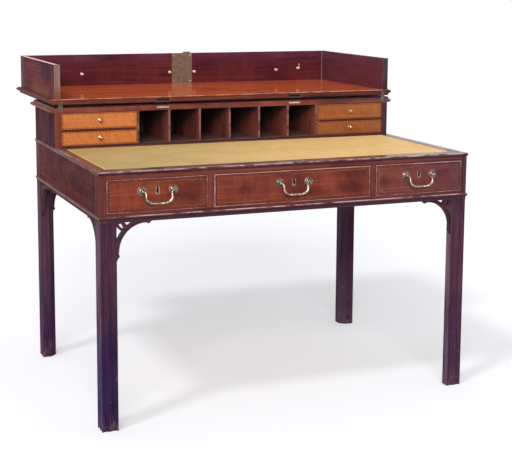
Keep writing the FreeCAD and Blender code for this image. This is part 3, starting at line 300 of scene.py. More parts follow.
def edge_and_hollow(tree, given):
    """Corners worn pale by hands and dusters and laid pale enough to be painted highlights too,
    and hollows darkened by old wax and by painted shade.

    A corner is where the eased normal leaves the face's own normal: 1 - eased . own.
    """
    eased = put(tree, "ShaderNodeBevel", {"samples": 4}, Radius=ARRIS).outputs[0]
    own = put(tree, "ShaderNodeNewGeometry").outputs["Normal"]
    agree = put(tree, "ShaderNodeVectorMath", {"operation": "DOT_PRODUCT"}, _0=eased, _1=own)
    edge = ramp(tree, minus(tree, 1.0, agree.outputs["Value"]), 0.02, 0.2)
    air = open_air(tree, 0.012)
    patchy = mottled(tree, given["Place"], (70, 70, 70), 0.36, 0.6, 4.0, 0.65)
    # Pale corners: wear and a painted highlight. The second output darkens the hollows with old
    # wax and painted shade.
    wear_and_glint = times(tree, edge, ramp(tree, air, 0.62, 0.9), patchy)
    return wear_and_glint, minus(tree, 1.0, ramp(tree, air, 0.25, 0.75)), eased


edge_hollow_group = new_group("edge_and_hollow", {"Place": "Vector"},
                       {"Wear And Glint": "Float", "Wax And Shade": "Float", "Eased": "Vector"}, edge_and_hollow)
QUARTER = math.pi / 2
GRAIN_TURNS = {"x": (0, 0, 0), "y": (0, 0, -QUARTER), "z": (0, QUARTER, 0)}
# The pale of worn edges, which is also a painted highlight; the dark of old wax in hollows, which
# is also painted shade; and the roughness where the polish has gone.
EDGE_WEAR_AND_GLINT, WAX_AND_SHADE, WORN_DULL = (0.3, 0.135, 0.115), (0.01, 0.005, 0.006), 0.6
LOG_STEP = (0.37, 0.83, 0.59)
planks_sawn = []


def lay_grain(tree, spot, along):
    """The object's coordinates turned so that X follows the grain, in a new part of the log."""
    planks_sawn.append(along)
    return put(tree, "ShaderNodeMapping", Vector=spot, Rotation=GRAIN_TURNS[along],
               Location=[step * len(planks_sawn) for step in LOG_STEP]).outputs[0]


def figure(tree, placed, tones, flame, clouds):
    """A board's colour and grain height from its pale, middle and deep tones."""
    pale, mid, deep = tones
    return effect(tree, plank_group, Place=placed, Pale=pale, Mid=mid, Deep=deep, Flame=flame,
                  Clouds=clouds)


def strip(tree, spot, along, tones, flame, clouds):
    """The colour of a strip of wood whose grain runs its own way."""
    return figure(tree, lay_grain(tree, spot, along), tones, flame, clouds)["Color"]


def surfaced(tree, relief, **looks):
    """A finished surface; relief gives the strength, distance, height and normal of its bumps."""
    bump = put(tree, "ShaderNodeBump", **relief)
    surface = put(tree, "ShaderNodeBsdfPrincipled", Normal=bump.outputs[0], **looks)
    put(tree, "ShaderNodeOutputMaterial", Surface=surface.outputs[0])


def finish_node(node, material):
    """Give a carcass part its material."""
    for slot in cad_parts[node].material_slots:
        slot.material = material


def plank(node, along, tones, wood="mahogany", flame=0.35, clouds=0.5, shine=0.02,
          relief=0.0002, smooth=0.3, rough=0.5, dulled=None, wear_and_glint=EDGE_WEAR_AND_GLINT, wear_and_glint_share=0.6,
          paint=None):
    """Make a carcass part of polished wood, its grain along one axis.

    dulled takes the tree and the object's coordinates and gives where the polish has gone.
    paint takes the tree, the wood's colour and the coordinates, and gives the colour that lies
    under the pale worn edges, which are also painted highlights, and under the hollows' old wax
    and painted shade.
    """
    material, tree, spot = new_material(f"{node}_{wood}")
    placed = lay_grain(tree, spot, along)
    grain = figure(tree, placed, tones, flame, clouds)
    colour = paint(tree, grain["Color"], spot) if paint else grain["Color"]
    edge_marks = effect(tree, edge_hollow_group, Place=spot)
    # Edges are laid pale, for wear and as a painted highlight, and hollows dark, for old wax and
    # as painted shade.
    colour = laid(tree, colour, wear_and_glint, edge_marks["Wear And Glint"], wear_and_glint_share)
    colour = laid(tree, colour, WAX_AND_SHADE, edge_marks["Wax And Shade"], 0.75)
    polish = effect(tree, polish_group, Place=placed, Smooth=smooth, Rough=rough)["Roughness"]
    if dulled:
        polish = put(tree, "ShaderNodeMix", {"data_type": "FLOAT"}, _0=dulled(tree, spot),
                     _2=polish, _3=WORN_DULL).outputs[0]
    surfaced(tree, dict(Strength=0.5, Distance=relief, Height=grain["Height"],
                        Normal=edge_marks["Eased"]),
             Base_Color=colour, Roughness=polish, Specular_IOR_Level=shine)
    finish_node(node, material)


def heights(tree, spot):
    """The object's X, Y and Z as three values."""
    return put(tree, "ShaderNodeSeparateXYZ", Vector=spot).outputs


def facing(tree):
    """Which way the surface faces, in the object's own X, Y and Z, so it turns with its body."""
    turned = put(tree, "ShaderNodeVectorTransform",
                 {"vector_type": "NORMAL", "convert_from": "WORLD", "convert_to": "OBJECT"},
                 Vector=put(tree, "ShaderNodeNewGeometry").outputs["Normal"])
    return heights(tree, turned.outputs[0])


COOL_TINT, COOL_FROM, COOL_TO = (0.62, 0.8, 1.15), 0.2, 0.6


def cooler(tree, colour, spot):
    """The carcass's front grows darker and more purple towards its right end."""
    return tinted(tree, colour, COOL_TINT,
                  ramp(tree, heights(tree, spot)[0], COOL_FROM, COOL_TO))


LEG_TONES = ((0.118, 0.048, 0.066), (0.064, 0.025, 0.046), (0.026, 0.012, 0.032))
FRIEZE_TONES = ((0.18, 0.054, 0.043), (0.096, 0.025, 0.024), (0.038, 0.011, 0.015))
INKY_TINT, FOOT_SCUFF, MOP_SPECKS = (0.44, 0.52, 1.05), (0.15, 0.082, 0.088), (0.3, 0.22, 0.3)
SCUFF_TOP = 0.08
# How inky each leg is, and the paler colour laid on its left face as a painted reflection.
LEGS = {"front_left": (1.0, (0.155, 0.095, 0.132)), "front_right": (0.45, (0.22, 0.138, 0.162)),
        "back_left": (0.6, (0.1, 0.07, 0.092)), "back_right": (0.3, (0.096, 0.071, 0.094))}
post_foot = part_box("bottom_rail")[0][2]


def leg_paint(tree, colour, spot, ink, left_sheen):
    """A leg is inky below the knee, browner and scuffed at its foot, and redder above the rail.

    Its left face is painted paler and greyer, as a painted reflection.
    """
    z = heights(tree, spot)[2]
    # Painted reflection: the left face is laid paler and greyer.
    colour = laid(tree, colour, left_sheen, ramp(tree, facing(tree)[0], -0.55, -0.85),
                  mottled(tree, spot, (30, 30, 5), 0.2, 0.6), 0.85)
    ragged = reckon(tree, "MULTIPLY", stretched_noise(tree, spot, (60, 60, 4)), 0.24)
    colour = tinted(tree, colour, INKY_TINT, ramp(tree, plus(tree, z, ragged), 0.52, 0.3), ink)
    colour = laid(tree, colour, FOOT_SCUFF, ramp(tree, z, SCUFF_TOP, 0.006),
                  mottled(tree, spot, (150, 150, 30), 0.42, 0.62, 4.0, 0.7), 0.7)
    colour = laid(tree, colour, MOP_SPECKS, ramp(tree, z, 0.21, 0.15), ramp(tree, z, 0.05, 0.1),
                  mottled(tree, spot, (120, 120, 75), 0.67, 0.74, 2.0), 0.6)
    redder = cooler(tree, strip(tree, spot, "z", FRIEZE_TONES, 0.2, 0.5), spot)
    return laid(tree, colour, redder, ramp(tree, z, post_foot - 0.002, post_foot + 0.001))


for corner, (ink, left_sheen) in LEGS.items():
    plank(f"leg_{corner}", "z", LEG_TONES, flame=0.1, clouds=0.6, shine=0.006,
          wear_and_glint=(0.22, 0.13, 0.15), paint=partial(leg_paint, ink=ink, left_sheen=left_sheen))


# ---------- corner brackets
# Eight pierced C-scrolls, fretted from thin mahogany with a hollow run along the band, glued
# into the angles between the legs and the rails.
BRACKET_TONES = ((0.115, 0.045, 0.055), (0.055, 0.022, 0.032), (0.018, 0.009, 0.017))
for corner in LEGS:
    plank(f"brackets_{corner}", "x", BRACKET_TONES, flame=0.2, shine=0.03,
          wear_and_glint=(0.26, 0.14, 0.15))


# ---------- frieze
# The box of rails and boards that holds the three drawers: solid mahogany, redder at the
# front, browner and more faded along the two sides, on oak runners.
SIDE_TONES = ((0.165, 0.044, 0.04), (0.082, 0.019, 0.022), (0.03, 0.009, 0.015))
RAIL_TONES = ((0.215, 0.056, 0.038), (0.12, 0.027, 0.023), (0.048, 0.012, 0.015))
# The colour of the shadow painted under the bottom bead.
SHADOW_UNDER_BEAD = (0.046, 0.022, 0.04)
OAK = ((0.52, 0.34, 0.19), (0.4, 0.25, 0.13), (0.24, 0.14, 0.07))
BARE = dict(wood="oak", flame=0.1, clouds=0.3, shine=0.2, smooth=0.55, rough=0.7,
            wear_and_glint=(0.55, 0.38, 0.22), wear_and_glint_share=0.3)
bead_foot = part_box("bottom_bead")[0][2]


def rail_paint(tree, colour, spot):
    """Below the bead the rail is painted dark, as the bead's shadow."""
    under = ramp(tree, heights(tree, spot)[2], bead_foot + 0.0005, bead_foot - 0.0005)
    return laid(tree, cooler(tree, colour, spot), SHADOW_UNDER_BEAD, under, 0.85)


for side in ("left", "right"):
    plank(f"frieze_side_{side}", "y", SIDE_TONES, shine=0.002, clouds=0.75)
plank("frieze_back", "x", SIDE_TONES, shine=0.002)
for rail in ("bottom_rail", "top_rail"):
    plank(rail, "x", RAIL_TONES, shine=0.05, paint=rail_paint)
plank("drawer_dividers", "z", RAIL_TONES, shine=0.05)
plank("drawer_runners", "y", OAK, **BARE)


# ---------- beads round the carcass
# Half-round mahogany beads, scratched with a moulding iron, mitred at the front corners and
# glued on.
BEAD_TONES = ((0.15, 0.052, 0.048), (0.078, 0.024, 0.027), (0.03, 0.01, 0.014))
# A painted highlight for a bead's crown, and a painted shade tint for its underside.
CROWN_HIGHLIGHT, BEAD_UNDERSIDE_SHADE = (0.7, 0.48, 0.5), (0.4, 0.4, 0.5)


def bead_paint(tree, colour, spot):
    """A bead's crown is painted with a pale highlight along the front, and its underside is
    painted darker as shade.
    """
    _, ahead, up = facing(tree)
    colour = laid(tree, colour, CROWN_HIGHLIGHT, ramp(tree, up, 0.15, 0.45), ramp(tree, up, 0.97, 0.85),
                  ramp(tree, ahead, -0.15, -0.35),
                  mottled(tree, spot, (16, 16, 40), 0.38, 0.6, 4.0, 0.7), 0.7)
    return tinted(tree, colour, BEAD_UNDERSIDE_SHADE, ramp(tree, up, -0.1, -0.5))


# The beads' edges are laid pale at full strength, as painted highlights as well as wear.
for bead in ("bottom_bead", "top_bead"):
    plank(bead, "x", BEAD_TONES, shine=0.05, smooth=0.24, rough=0.4, wear_and_glint=(0.66, 0.44, 0.42),
          wear_and_glint_share=1.0, paint=bead_paint)


# ---------- writing surface
# A crossbanded mahogany top round an inset tan skiver.  A brass plate let into the front
# border takes the bolt of the lid's lock.
hide_low, hide_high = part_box("writing_leather")
top_low, top_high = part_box("writing_top")
BORDER_TONES = ((0.31, 0.12, 0.092), (0.15, 0.05, 0.042), (0.048, 0.016, 0.02))
# A painted glint, pale pink, for the reflections along the top's outer edges.
BORDER_GLINT = (0.62, 0.44, 0.41)


def border_paint(tree, colour, spot):
    """The front strip's grain runs front to back; at the mitres it gives way to the side strips.

    A mitre is where a point is as far from the side as from the front.
    """
    x, y, _ = heights(tree, spot)
    from_side = minus(tree, top_high[0], apart(tree, x))
    from_front = minus(tree, y, top_low[1])
    past_mitre = minus(tree, from_side, from_front)
    across = strip(tree, spot, "y", BORDER_TONES, 0.5, 0.8)
    colour = laid(tree, colour, across, ramp(tree, past_mitre, -0.0004, 0.0004))
    colour = laid(tree, colour, BORDER_TONES[2],
                  ramp(tree, apart(tree, past_mitre), 0.0012, 0.0002), 0.7)
    colour = cooler(tree, colour, spot)
    # Painted reflection: mottled pale pink near the top's outer edges.
    from_edge = reckon(tree, "MINIMUM", from_front, from_side)
    return laid(tree, colour, BORDER_GLINT, ramp(tree, from_edge, 0.01, 0.003),
                mottled(tree, spot, (7, 7, 20), 0.44, 0.56, 4.0, 0.7), 0.65)


plank("writing_top", "x", BORDER_TONES, flame=0.5, clouds=0.8, shine=0.12, smooth=0.14,
      rough=0.3, paint=border_paint)


def tanned_hide(tree, given):
    """Skiver: blotched in the tanning, darkened by hands, with dark creases between its pebbles.

    A crease is where the distance to the edge of a pebble goes to nothing.
    """
    pebble = put(tree, "ShaderNodeTexVoronoi", {"feature": "DISTANCE_TO_EDGE"},
                 Vector=given["Place"], Scale=900.0)
    creases = ramp(tree, pebble.outputs["Distance"], 0.0, 0.16)
    handling = stretched_noise(tree, given["Place"], (30, 40, 30), 4.0, 0.65)
    tan = laid(tree, given["Mid"], given["Light"],
               mottled(tree, given["Place"], (5, 7, 5), 0.34, 0.66, 4.0, 0.6, 0.8))
    tan = laid(tree, tan, given["Dark"], ramp(tree, handling, 0.5, 0.74), 0.4)
    tan = laid(tree, tan, given["Dark"], minus(tree, 1.0, creases), 0.2)
    return tan, creases, spread(tree, handling, 0.45, 0.65)


hide_group = new_group(
    "tanned_hide", {"Place": "Vector", "Light": "Color", "Mid": "Color", "Dark": "Color"},
    {"Color": "Color", "Height": "Float", "Roughness": "Float"}, tanned_hide)
SHADED_END, GILT = (0.58, 0.63, 0.62), (0.9, 0.66, 0.28)
GILT_INSET, GILT_EDGE = 0.004, (0.0034, 0.0022)

leather, tree, spot = new_material("writing_leather_skiver")
hide = effect(tree, hide_group, Place=spot, Light=(0.92, 0.61, 0.255), Mid=(0.83, 0.54, 0.21),
              Dark=(0.58, 0.36, 0.125))
x, y, _ = heights(tree, spot)
# Painted light: the skiver is darker and greener towards its left end and lighter towards its
# right.
painted_light = ramp(tree, x, hide_low[0] - 0.1, hide_high[0] * 0.55)
colour = tinted(tree, hide["Color"], SHADED_END, minus(tree, 1.0, painted_light))
inset = reckon(tree, "MINIMUM", minus(tree, hide_high[0], apart(tree, x)),
               reckon(tree, "MINIMUM", minus(tree, y, hide_low[1]), minus(tree, hide_high[1], y)))
colour = laid(tree, colour, GILT, ramp(tree, apart(tree, inset, GILT_INSET), *GILT_EDGE), 0.55)
surfaced(tree, dict(Strength=0.35, Distance=0.00012, Height=hide["Height"]), Base_Color=colour,
         Roughness=hide["Roughness"], Specular_IOR_Level=0.12)
finish_node("writing_leather", leather)

# Dark colours for the brass's hollows, dirt and painted shade, and for its undersides, painted
# shade.
HOLLOW_DIRT_AND_SHADE, UNDERSIDE_SHADE = (0.03, 0.022, 0.015), (0.028, 0.019, 0.015)


def tarnished_brass(tree, given):
    """Lacquered brass that has tarnished in patches, with file marks, and with dirt and painted
    shade darkening its hollows.
    """
    patches = mottled(tree, given["Place"], (90, 90, 90), 0.4, 0.66, 4.0, 0.6)
    toned = laid(tree, given["Bright"], given["Dull"], patches)
    toned = laid(tree, toned, HOLLOW_DIRT_AND_SHADE, ramp(tree, open_air(tree, 0.008), 0.8, 0.3))
    filed = stretched_noise(tree, given["Place"], (900, 140, 900), 2.0)
    return toned, spread(tree, patches, given["Smooth"], given["Rough"]), filed


tarnish_group = new_group(
    "tarnished_brass",
    {"Place": "Vector", "Bright": "Color", "Dull": "Color", "Smooth": 0.2, "Rough": 0.45},
    {"Color": "Color", "Roughness": "Float", "Height": "Float"}, tarnished_brass)


def brass(name, bright, dull, smooth, rough, metal=0.8, wear_and_glint=(0.8, 0.68, 0.52), wear_and_glint_share=0.5,
          underside_shade=0.0):
    """A brass from its bright and dull tones, with pale worn edges that are also painted
    highlights.

    The last argument is how dark its undersides are painted, as painted shade.
    """
    material, tree, spot = new_material(name)
    toned = effect(tree, tarnish_group, Place=spot, Bright=bright, Dull=dull, Smooth=smooth,
                   Rough=rough)
    edge_marks = effect(tree, edge_hollow_group, Place=spot)
    colour = laid(tree, toned["Color"], wear_and_glint, edge_marks["Wear And Glint"], wear_and_glint_share)
    # Painted shade: faces that look down are laid dark.
    if underside_shade:
        under = ramp(tree, facing(tree)[2], 0.05, -0.6)
        colour = laid(tree, colour, UNDERSIDE_SHADE, under, underside_shade)
    surfaced(tree, dict(Strength=0.15, Distance=0.0001, Height=toned["Height"]),
             Base_Color=colour, Roughness=toned["Roughness"], Metallic=metal)
    return material


cast_brass = brass("cast_brass", (0.46, 0.37, 0.28), (0.17, 0.128, 0.098), 0.14, 0.3,
                   underside_shade=0.9)
rosette_brass = brass("rosette_brass", (0.4, 0.32, 0.245), (0.105, 0.078, 0.06), 0.14, 0.3,
                      underside_shade=0.8)
plate_brass = brass("plate_brass", (0.185, 0.118, 0.074), (0.135, 0.084, 0.056), 0.4, 0.5,
                    metal=0.3, wear_and_glint=(0.5, 0.36, 0.22), wear_and_glint_share=0.9)
screw_brass = brass("screw_brass", (0.62, 0.48, 0.31), (0.34, 0.26, 0.17), 0.25, 0.45)
finish_node("strike_plate", plate_brass)


def skin(name, rings, material, body):
    """Closed pieces of brass from rings of points: each ring is joined to the next, and the end
    rings close.  rings has the shape (pieces, rings, points round, 3)."""
    pieces, count, around, _ = rings.shape
    piece, row, column = np.meshgrid(np.arange(pieces), np.arange(count - 1), np.arange(around),
                                     indexing="ij")
    after = (column + 1) % around
    first = (piece * count + row) * around
    faces = np.stack([first + column, first + after, first + around + after,
                      first + around + column], axis=-1)
    mesh = bpy.data.meshes.new(name)
    mesh.from_pydata(rings.reshape(-1, 3).tolist(), [], faces.reshape(-1, 4).tolist())
    work = bmesh.new()
    work.from_mesh(mesh)
    bmesh.ops.remove_doubles(work, verts=work.verts, dist=1e-6)
    bmesh.ops.recalc_face_normals(work, faces=work.faces)
    work.to_mesh(mesh)
    work.free()
    mesh.materials.append(material)
    made = new_object(name, mesh)
    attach(made, body)
    return made


SCREW_RADIUS, SCREW_DOME, SCREW_SUNK = 0.0032, 0.0005, 0.001
SLOT_HALF, SLOT_DEPTH = 0.17, 0.0007
SIDE_STRIPS, STRIP_POINTS = 6, 9


def screws(name, body, heads, forward=False):
    """Countersunk screws with slotted heads, each at a point of its plate.

    A head is cut into strips across its slot.  In a strip at s the top runs along
    t = k * sqrt(r^2 - s^2) for k from -1 to 1 at the height dome * (1 - (s^2 + t^2) / r^2),
    less the slot's depth between its two sides, and comes back flat under the plate's face.
    Each slot is turned its own way.
    """
    side = np.sin(np.linspace(-QUARTER, -math.asin(SLOT_HALF), SIDE_STRIPS))
    across = np.concatenate([side, [-SLOT_HALF, SLOT_HALF], -side[::-1]])
    cut = np.concatenate([np.zeros(SIDE_STRIPS), np.ones(2), np.zeros(SIDE_STRIPS)])
    along = np.linspace(-1, 1, STRIP_POINTS)
    chord = np.sqrt(np.clip(1 - across ** 2, 0, 1))
    s = np.repeat(across[:, None], 2 * STRIP_POINTS, axis=1)
    t = chord[:, None] * np.concatenate([along, along[::-1]])[None, :]
    top = SCREW_DOME * (1 - s ** 2 - t ** 2) - SLOT_DEPTH * cut[:, None]
    z = np.where(np.arange(2 * STRIP_POINTS) < STRIP_POINTS, top, -SCREW_SUNK)
    strips = np.stack([s * SCREW_RADIUS, t * SCREW_RADIUS, z], axis=-1)
    rings = []
    for index, centre in enumerate(heads):
        angle = 0.7 + 1.9 * index
        spin = np.array([[math.cos(angle), -math.sin(angle), 0],
                         [math.sin(angle), math.cos(angle), 0], [0, 0, 1]])
        head = strips @ spin.T
        if forward:
            head = np.stack([head[..., 0], -head[..., 2], head[..., 1]], axis=-1)
        rings.append(head + np.array(centre))
    skin(name, np.array(rings), screw_brass, body)


strike_low, strike_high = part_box("strike_plate")
STRIKE_SCREWS_OUT = 0.0402
screws("strike_plate_screws", "desk",
       [(x, (strike_low[1] + strike_high[1]) / 2, strike_high[2])
        for x in (-STRIKE_SCREWS_OUT, STRIKE_SCREWS_OUT)])


# ---------- cabinet
# A low mahogany case across the back of the top: solid ends, a thin floor and back, seven
# partitions for six pigeonholes and two dustboards, under a moulded board.
CASE_TONES = ((0.118, 0.036, 0.042), (0.062, 0.018, 0.026), (0.024, 0.008, 0.014))
STILE_TONES = ((0.3, 0.09, 0.048), (0.15, 0.04, 0.028), (0.055, 0.015, 0.016))
INNER_TONES = ((0.38, 0.098, 0.08), (0.235, 0.058, 0.048), (0.09, 0.025, 0.022))
CORNICE_TONES = ((0.33, 0.094, 0.06), (0.165, 0.042, 0.033), (0.06, 0.018, 0.021))
LIPPING, FLOOR_EDGE = (0.24, 0.135, 0.112), (0.06, 0.02, 0.018)
# Dust with a painted shadow for deep in the pigeonholes, and a painted shadow for the gap between
# the lid and the cabinet's top.
DEEP_SHADE_AND_DUST, GAP_SHADE = (0.075, 0.075, 0.062), (0.012, 0.006, 0.006)
LIP_DEPTH = 0.0012
cabinet_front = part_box("cabinet_side_left")[0][1]
board_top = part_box("cabinet_top")[1][2]
small_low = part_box("small_right_lower")[0]


def front_edge(tree, spot, depth):
    """1 on what lies within a depth of the cabinet's front, where boards show their edges."""
    return ramp(tree, heights(tree, spot)[1], cabinet_front + depth * 1.2,
                cabinet_front + depth * 0.8)


def stile_paint(tree, colour, spot):
    """The cabinet's ends are browner on their front edges than on their broad sides."""
    edge_wood = strip(tree, spot, "z", STILE_TONES, 0.4, 0.6)
    edge_wood = cooler(tree, cooler(tree, edge_wood, spot), spot)
    return laid(tree, colour, edge_wood, front_edge(tree, spot, LIP_DEPTH))


def lipped(tree, colour, spot):
    """The partitions have a paler worn lipping, and the other boards' front edges are dark.

    Deep inside, where height + 0.42 * depth is over 0.106 to 0.122, a shadow is painted together
    with the dust, and faces that look up are darkened by dust and painted shade.
    """
    x, y, z = heights(tree, spot)
    _, ahead, up = facing(tree)
    depth = reckon(tree, "MULTIPLY", minus(tree, y, small_low[1]), 0.42)
    soft = reckon(tree, "MULTIPLY", stretched_noise(tree, spot, (30, 30, 30), 2.0), 0.01)
    into = plus(tree, plus(tree, minus(tree, z, small_low[2]), depth), soft)
    # Painted shadow deep inside, bounded by a diagonal across the boards.
    deep = times(tree, ramp(tree, ahead, 0.6, 0.3), ramp(tree, into, 0.106, 0.122), 0.85)
    floor_dust_and_shade = times(tree, ramp(tree, up, 0.5, 0.8), 0.7)
    colour = laid(tree, colour, DEEP_SHADE_AND_DUST, reckon(tree, "MAXIMUM", deep, floor_dust_and_shade))
    upright = times(tree, ramp(tree, apart(tree, x), small_low[0] + 0.012, small_low[0] + 0.002),
                    ramp(tree, z, small_low[2] - 0.002, small_low[2] + 0.001))
    edge = laid(tree, FLOOR_EDGE, LIPPING, mottled(tree, spot, (60, 60, 60), 0.3, 0.6), upright)
    return laid(tree, colour, edge, front_edge(tree, spot, LIP_DEPTH), 0.9)


def sideways(tree):
    """1 on a board's edges, 0 on its upper and lower faces."""
    return ramp(tree, apart(tree, facing(tree)[2]), 0.95, 0.85)


def cornice_paint(tree, colour, spot):
    """A shadow is painted along the upper edge of the moulded board, in the gap under the lid."""
    z = heights(tree, spot)[2]
    return laid(tree, cooler(tree, colour, spot), GAP_SHADE,
                ramp(tree, z, board_top - 0.0032, board_top - 0.002), sideways(tree))


for side in ("left", "right"):
    plank(f"cabinet_side_{side}", "z", CASE_TONES, shine=0.002, paint=stile_paint)
for board in ("cabinet_back", "cabinet_floor"):
    plank(board, "x", INNER_TONES, shine=0.05, paint=lipped)
plank("cabinet_partitions", "z", INNER_TONES, flame=0.25, paint=lipped)
plank("cabinet_top", "x", CORNICE_TONES, shine=0.03, wear_and_glint_share=0.4, paint=cornice_paint)


# ---------- lid
# A shallow box: a moulded panel with two low side walls and a front wall, folded back on the
# cabinet.  Its inside kept a fresh orange red, because it was mostly shut.
PANEL_TONES = ((0.68, 0.145, 0.04), (0.53, 0.098, 0.029), (0.34, 0.056, 0.021))
PANEL_EDGE_TONES = ((0.19, 0.046, 0.027), (0.098, 0.021, 0.016), (0.038, 0.01, 0.011))
WALL_TONES = ((0.125, 0.027, 0.034), (0.073, 0.014, 0.023), (0.036, 0.008, 0.017))
CHEEK_TONES = ((0.195, 0.056, 0.05), (0.105, 0.029, 0.036), (0.044, 0.014, 0.022))
END_GRAIN = {"left": ((0.4, 0.235, 0.215), (0.25, 0.14, 0.13), (0.12, 0.062, 0.062)),
             "right": ((0.085, 0.062, 0.082), (0.05, 0.036, 0.05), (0.028, 0.02, 0.03))}
# The panel's pale front arris, a painted highlight that also marks the foot of the front wall, and
# a painted highlight for the side walls' tops.
PALE_ARRIS, RIM_HIGHLIGHT = (0.64, 0.33, 0.24), (0.88, 0.7, 0.67)
WALL_BLOOM, JOINT_LINE = (0.155, 0.052, 0.088), (0.42, 0.27, 0.27)
SUN_FADED, INKY_CHEEK = (0.23, 0.078, 0.042), (0.045, 0.018, 0.04)
GREYED, INNER_TINT = (0.12, 0.088, 0.1), (0.95, 0.6, 1.0)
WALL_FOOT_TINT, END_FOOT_TINT = (1.25, 1.05, 0.85), (0.85, 0.55, 0.35)
CHEEK_IN = 0.59
panel_low, panel_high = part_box("lid_panel")
wall_low, wall_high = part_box("lid_wall_front")
cheek_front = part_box("lid_wall_left")[0][1]


def past_cheeks(tree, spot, start, end):
    """1 on what lies further out than the inner faces of the side walls: a step over |x|."""
    return ramp(tree, apart(tree, heights(tree, spot)[0]), CHEEK_IN + start, CHEEK_IN + end)


def outside(tree):
    """1 on the face that looks up when the lid is shut."""
    return ramp(tree, facing(tree)[2], -0.85, -0.95)


def panel_paint(tree, colour, spot):
    """The panel's inside is fresh and orange; its edges and its outside are as brown as the
    cabinet.  Its front arris is painted pale and mottled as a highlight, a pale line runs along
    the foot of the front wall, and a shadow is painted along its lower edge."""
    _, y, z = heights(tree, spot)
    edges = reckon(tree, "MAXIMUM", ramp(tree, z, panel_high[2] - 0.0004, panel_high[2] - 0.0016),
                   past_cheeks(tree, spot, 0.002, 0.006))
    edge_wood = cooler(tree, strip(tree, spot, "x", PANEL_EDGE_TONES, 0.3, 0.5), spot)
    colour = laid(tree, colour, edge_wood, edges)
    colour = laid(tree, colour, strip(tree, spot, "x", CORNICE_TONES, 0.4, 0.5), outside(tree))
    # Painted highlight along the panel's front arris, and a pale line at the foot of the front
    # wall.
    front = times(tree, ramp(tree, y, panel_low[1] + 0.005, panel_low[1] + 0.0035),
                  ramp(tree, z, panel_high[2] - 0.0022, panel_high[2] - 0.0012),
                  mottled(tree, spot, (22, 60, 60), 0.4, 0.55, 3.0, 0.65), 0.8)
    foot = times(tree, ramp(tree, y, wall_low[1] - 0.005, wall_low[1] - 0.004),
                 ramp(tree, y, wall_low[1] + 0.001, wall_low[1]),
                 ramp(tree, z, panel_high[2] - 0.001, panel_high[2] - 0.0006), 0.6)
    colour = laid(tree, colour, PALE_ARRIS, reckon(tree, "MAXIMUM", front, foot))
    # Painted shade along the panel's lower edge, where it lies on the cabinet.
    return laid(tree, colour, GAP_SHADE,
                ramp(tree, z, panel_low[2] + 0.0042, panel_low[2] + 0.0028), sideways(tree))


def panel_dulled(tree, spot):
    """The panel's moulded edges have lost their polish, and its outside some of it."""
    edges = reckon(tree, "MAXIMUM", past_cheeks(tree, spot, 0.002, 0.006),
                   ramp(tree, heights(tree, spot)[1], panel_low[1] + 0.012, panel_low[1] + 0.009))
    return reckon(tree, "MAXIMUM", edges, times(tree, outside(tree), 0.6))


def wall_paint(tree, colour, spot):
    """The walls are redder towards the panel, with a bloom of old wax along their tops."""
    x, _, z = heights(tree, spot)
    rise = ramp(tree, z, wall_low[2] + 0.01, wall_high[2])
    colour = tinted(tree, colour, WALL_FOOT_TINT, minus(tree, 1.0, rise))
    colour = laid(tree, colour, WALL_BLOOM,
                  ramp(tree, z, wall_high[2] - 0.045, wall_high[2] - 0.004),
                  mottled(tree, spot, (9, 9, 30), 0.3, 0.7), 0.55)
    return laid(tree, colour, JOINT_LINE,
                ramp(tree, apart(tree, x, CHEEK_IN - 0.0016), 0.0018, 0.001), 0.6)


def cheek_paint(tree, colour, spot, end_tones):
    """A side wall is maroon inside, sun-bleached brown outside with a highlight painted along the
    top of its outer face, and shows end grain at its front end.
    """
    _, y, z = heights(tree, spot)
    colour = laid(tree, colour, SUN_FADED,
                  ramp(tree, z, wall_low[2] + 0.05, wall_low[2] + 0.012),
                  ramp(tree, y, 0.05, 0.12), ramp(tree, y, 0.4, 0.3), 0.75)
    colour = laid(tree, colour, INKY_CHEEK, ramp(tree, y, 0.04, 0.1), ramp(tree, y, 0.24, 0.17),
                  ramp(tree, z, wall_low[2] + 0.04, wall_low[2] + 0.07), 0.6)
    colour = laid(tree, colour, GREYED,
                  ramp(tree, y, wall_low[1] - 0.055, wall_low[1] - 0.015), 0.6)
    inner = tinted(tree, strip(tree, spot, "y", WALL_TONES, 0.3, 0.5), INNER_TINT, 1.0)
    colour = laid(tree, colour, wall_paint(tree, inner, spot),
                  minus(tree, 1.0, past_cheeks(tree, spot, 0.0004, 0.0012)))
    # Painted highlight along the top of the wall's outer face.
    colour = laid(tree, colour, RIM_HIGHLIGHT,
                  ramp(tree, z, wall_high[2] - 0.0006, wall_high[2] - 0.0003),
                  past_cheeks(tree, spot, 0.007, 0.01), 0.95)
    end_wood = tinted(tree, strip(tree, spot, "z", end_tones, 0.3, 0.5), END_FOOT_TINT,
                      ramp(tree, z, wall_low[2] + 0.055, wall_low[2] + 0.01))
    return laid(tree, colour, end_wood, ramp(tree, y, cheek_front + 0.0012, cheek_front + 0.0004))


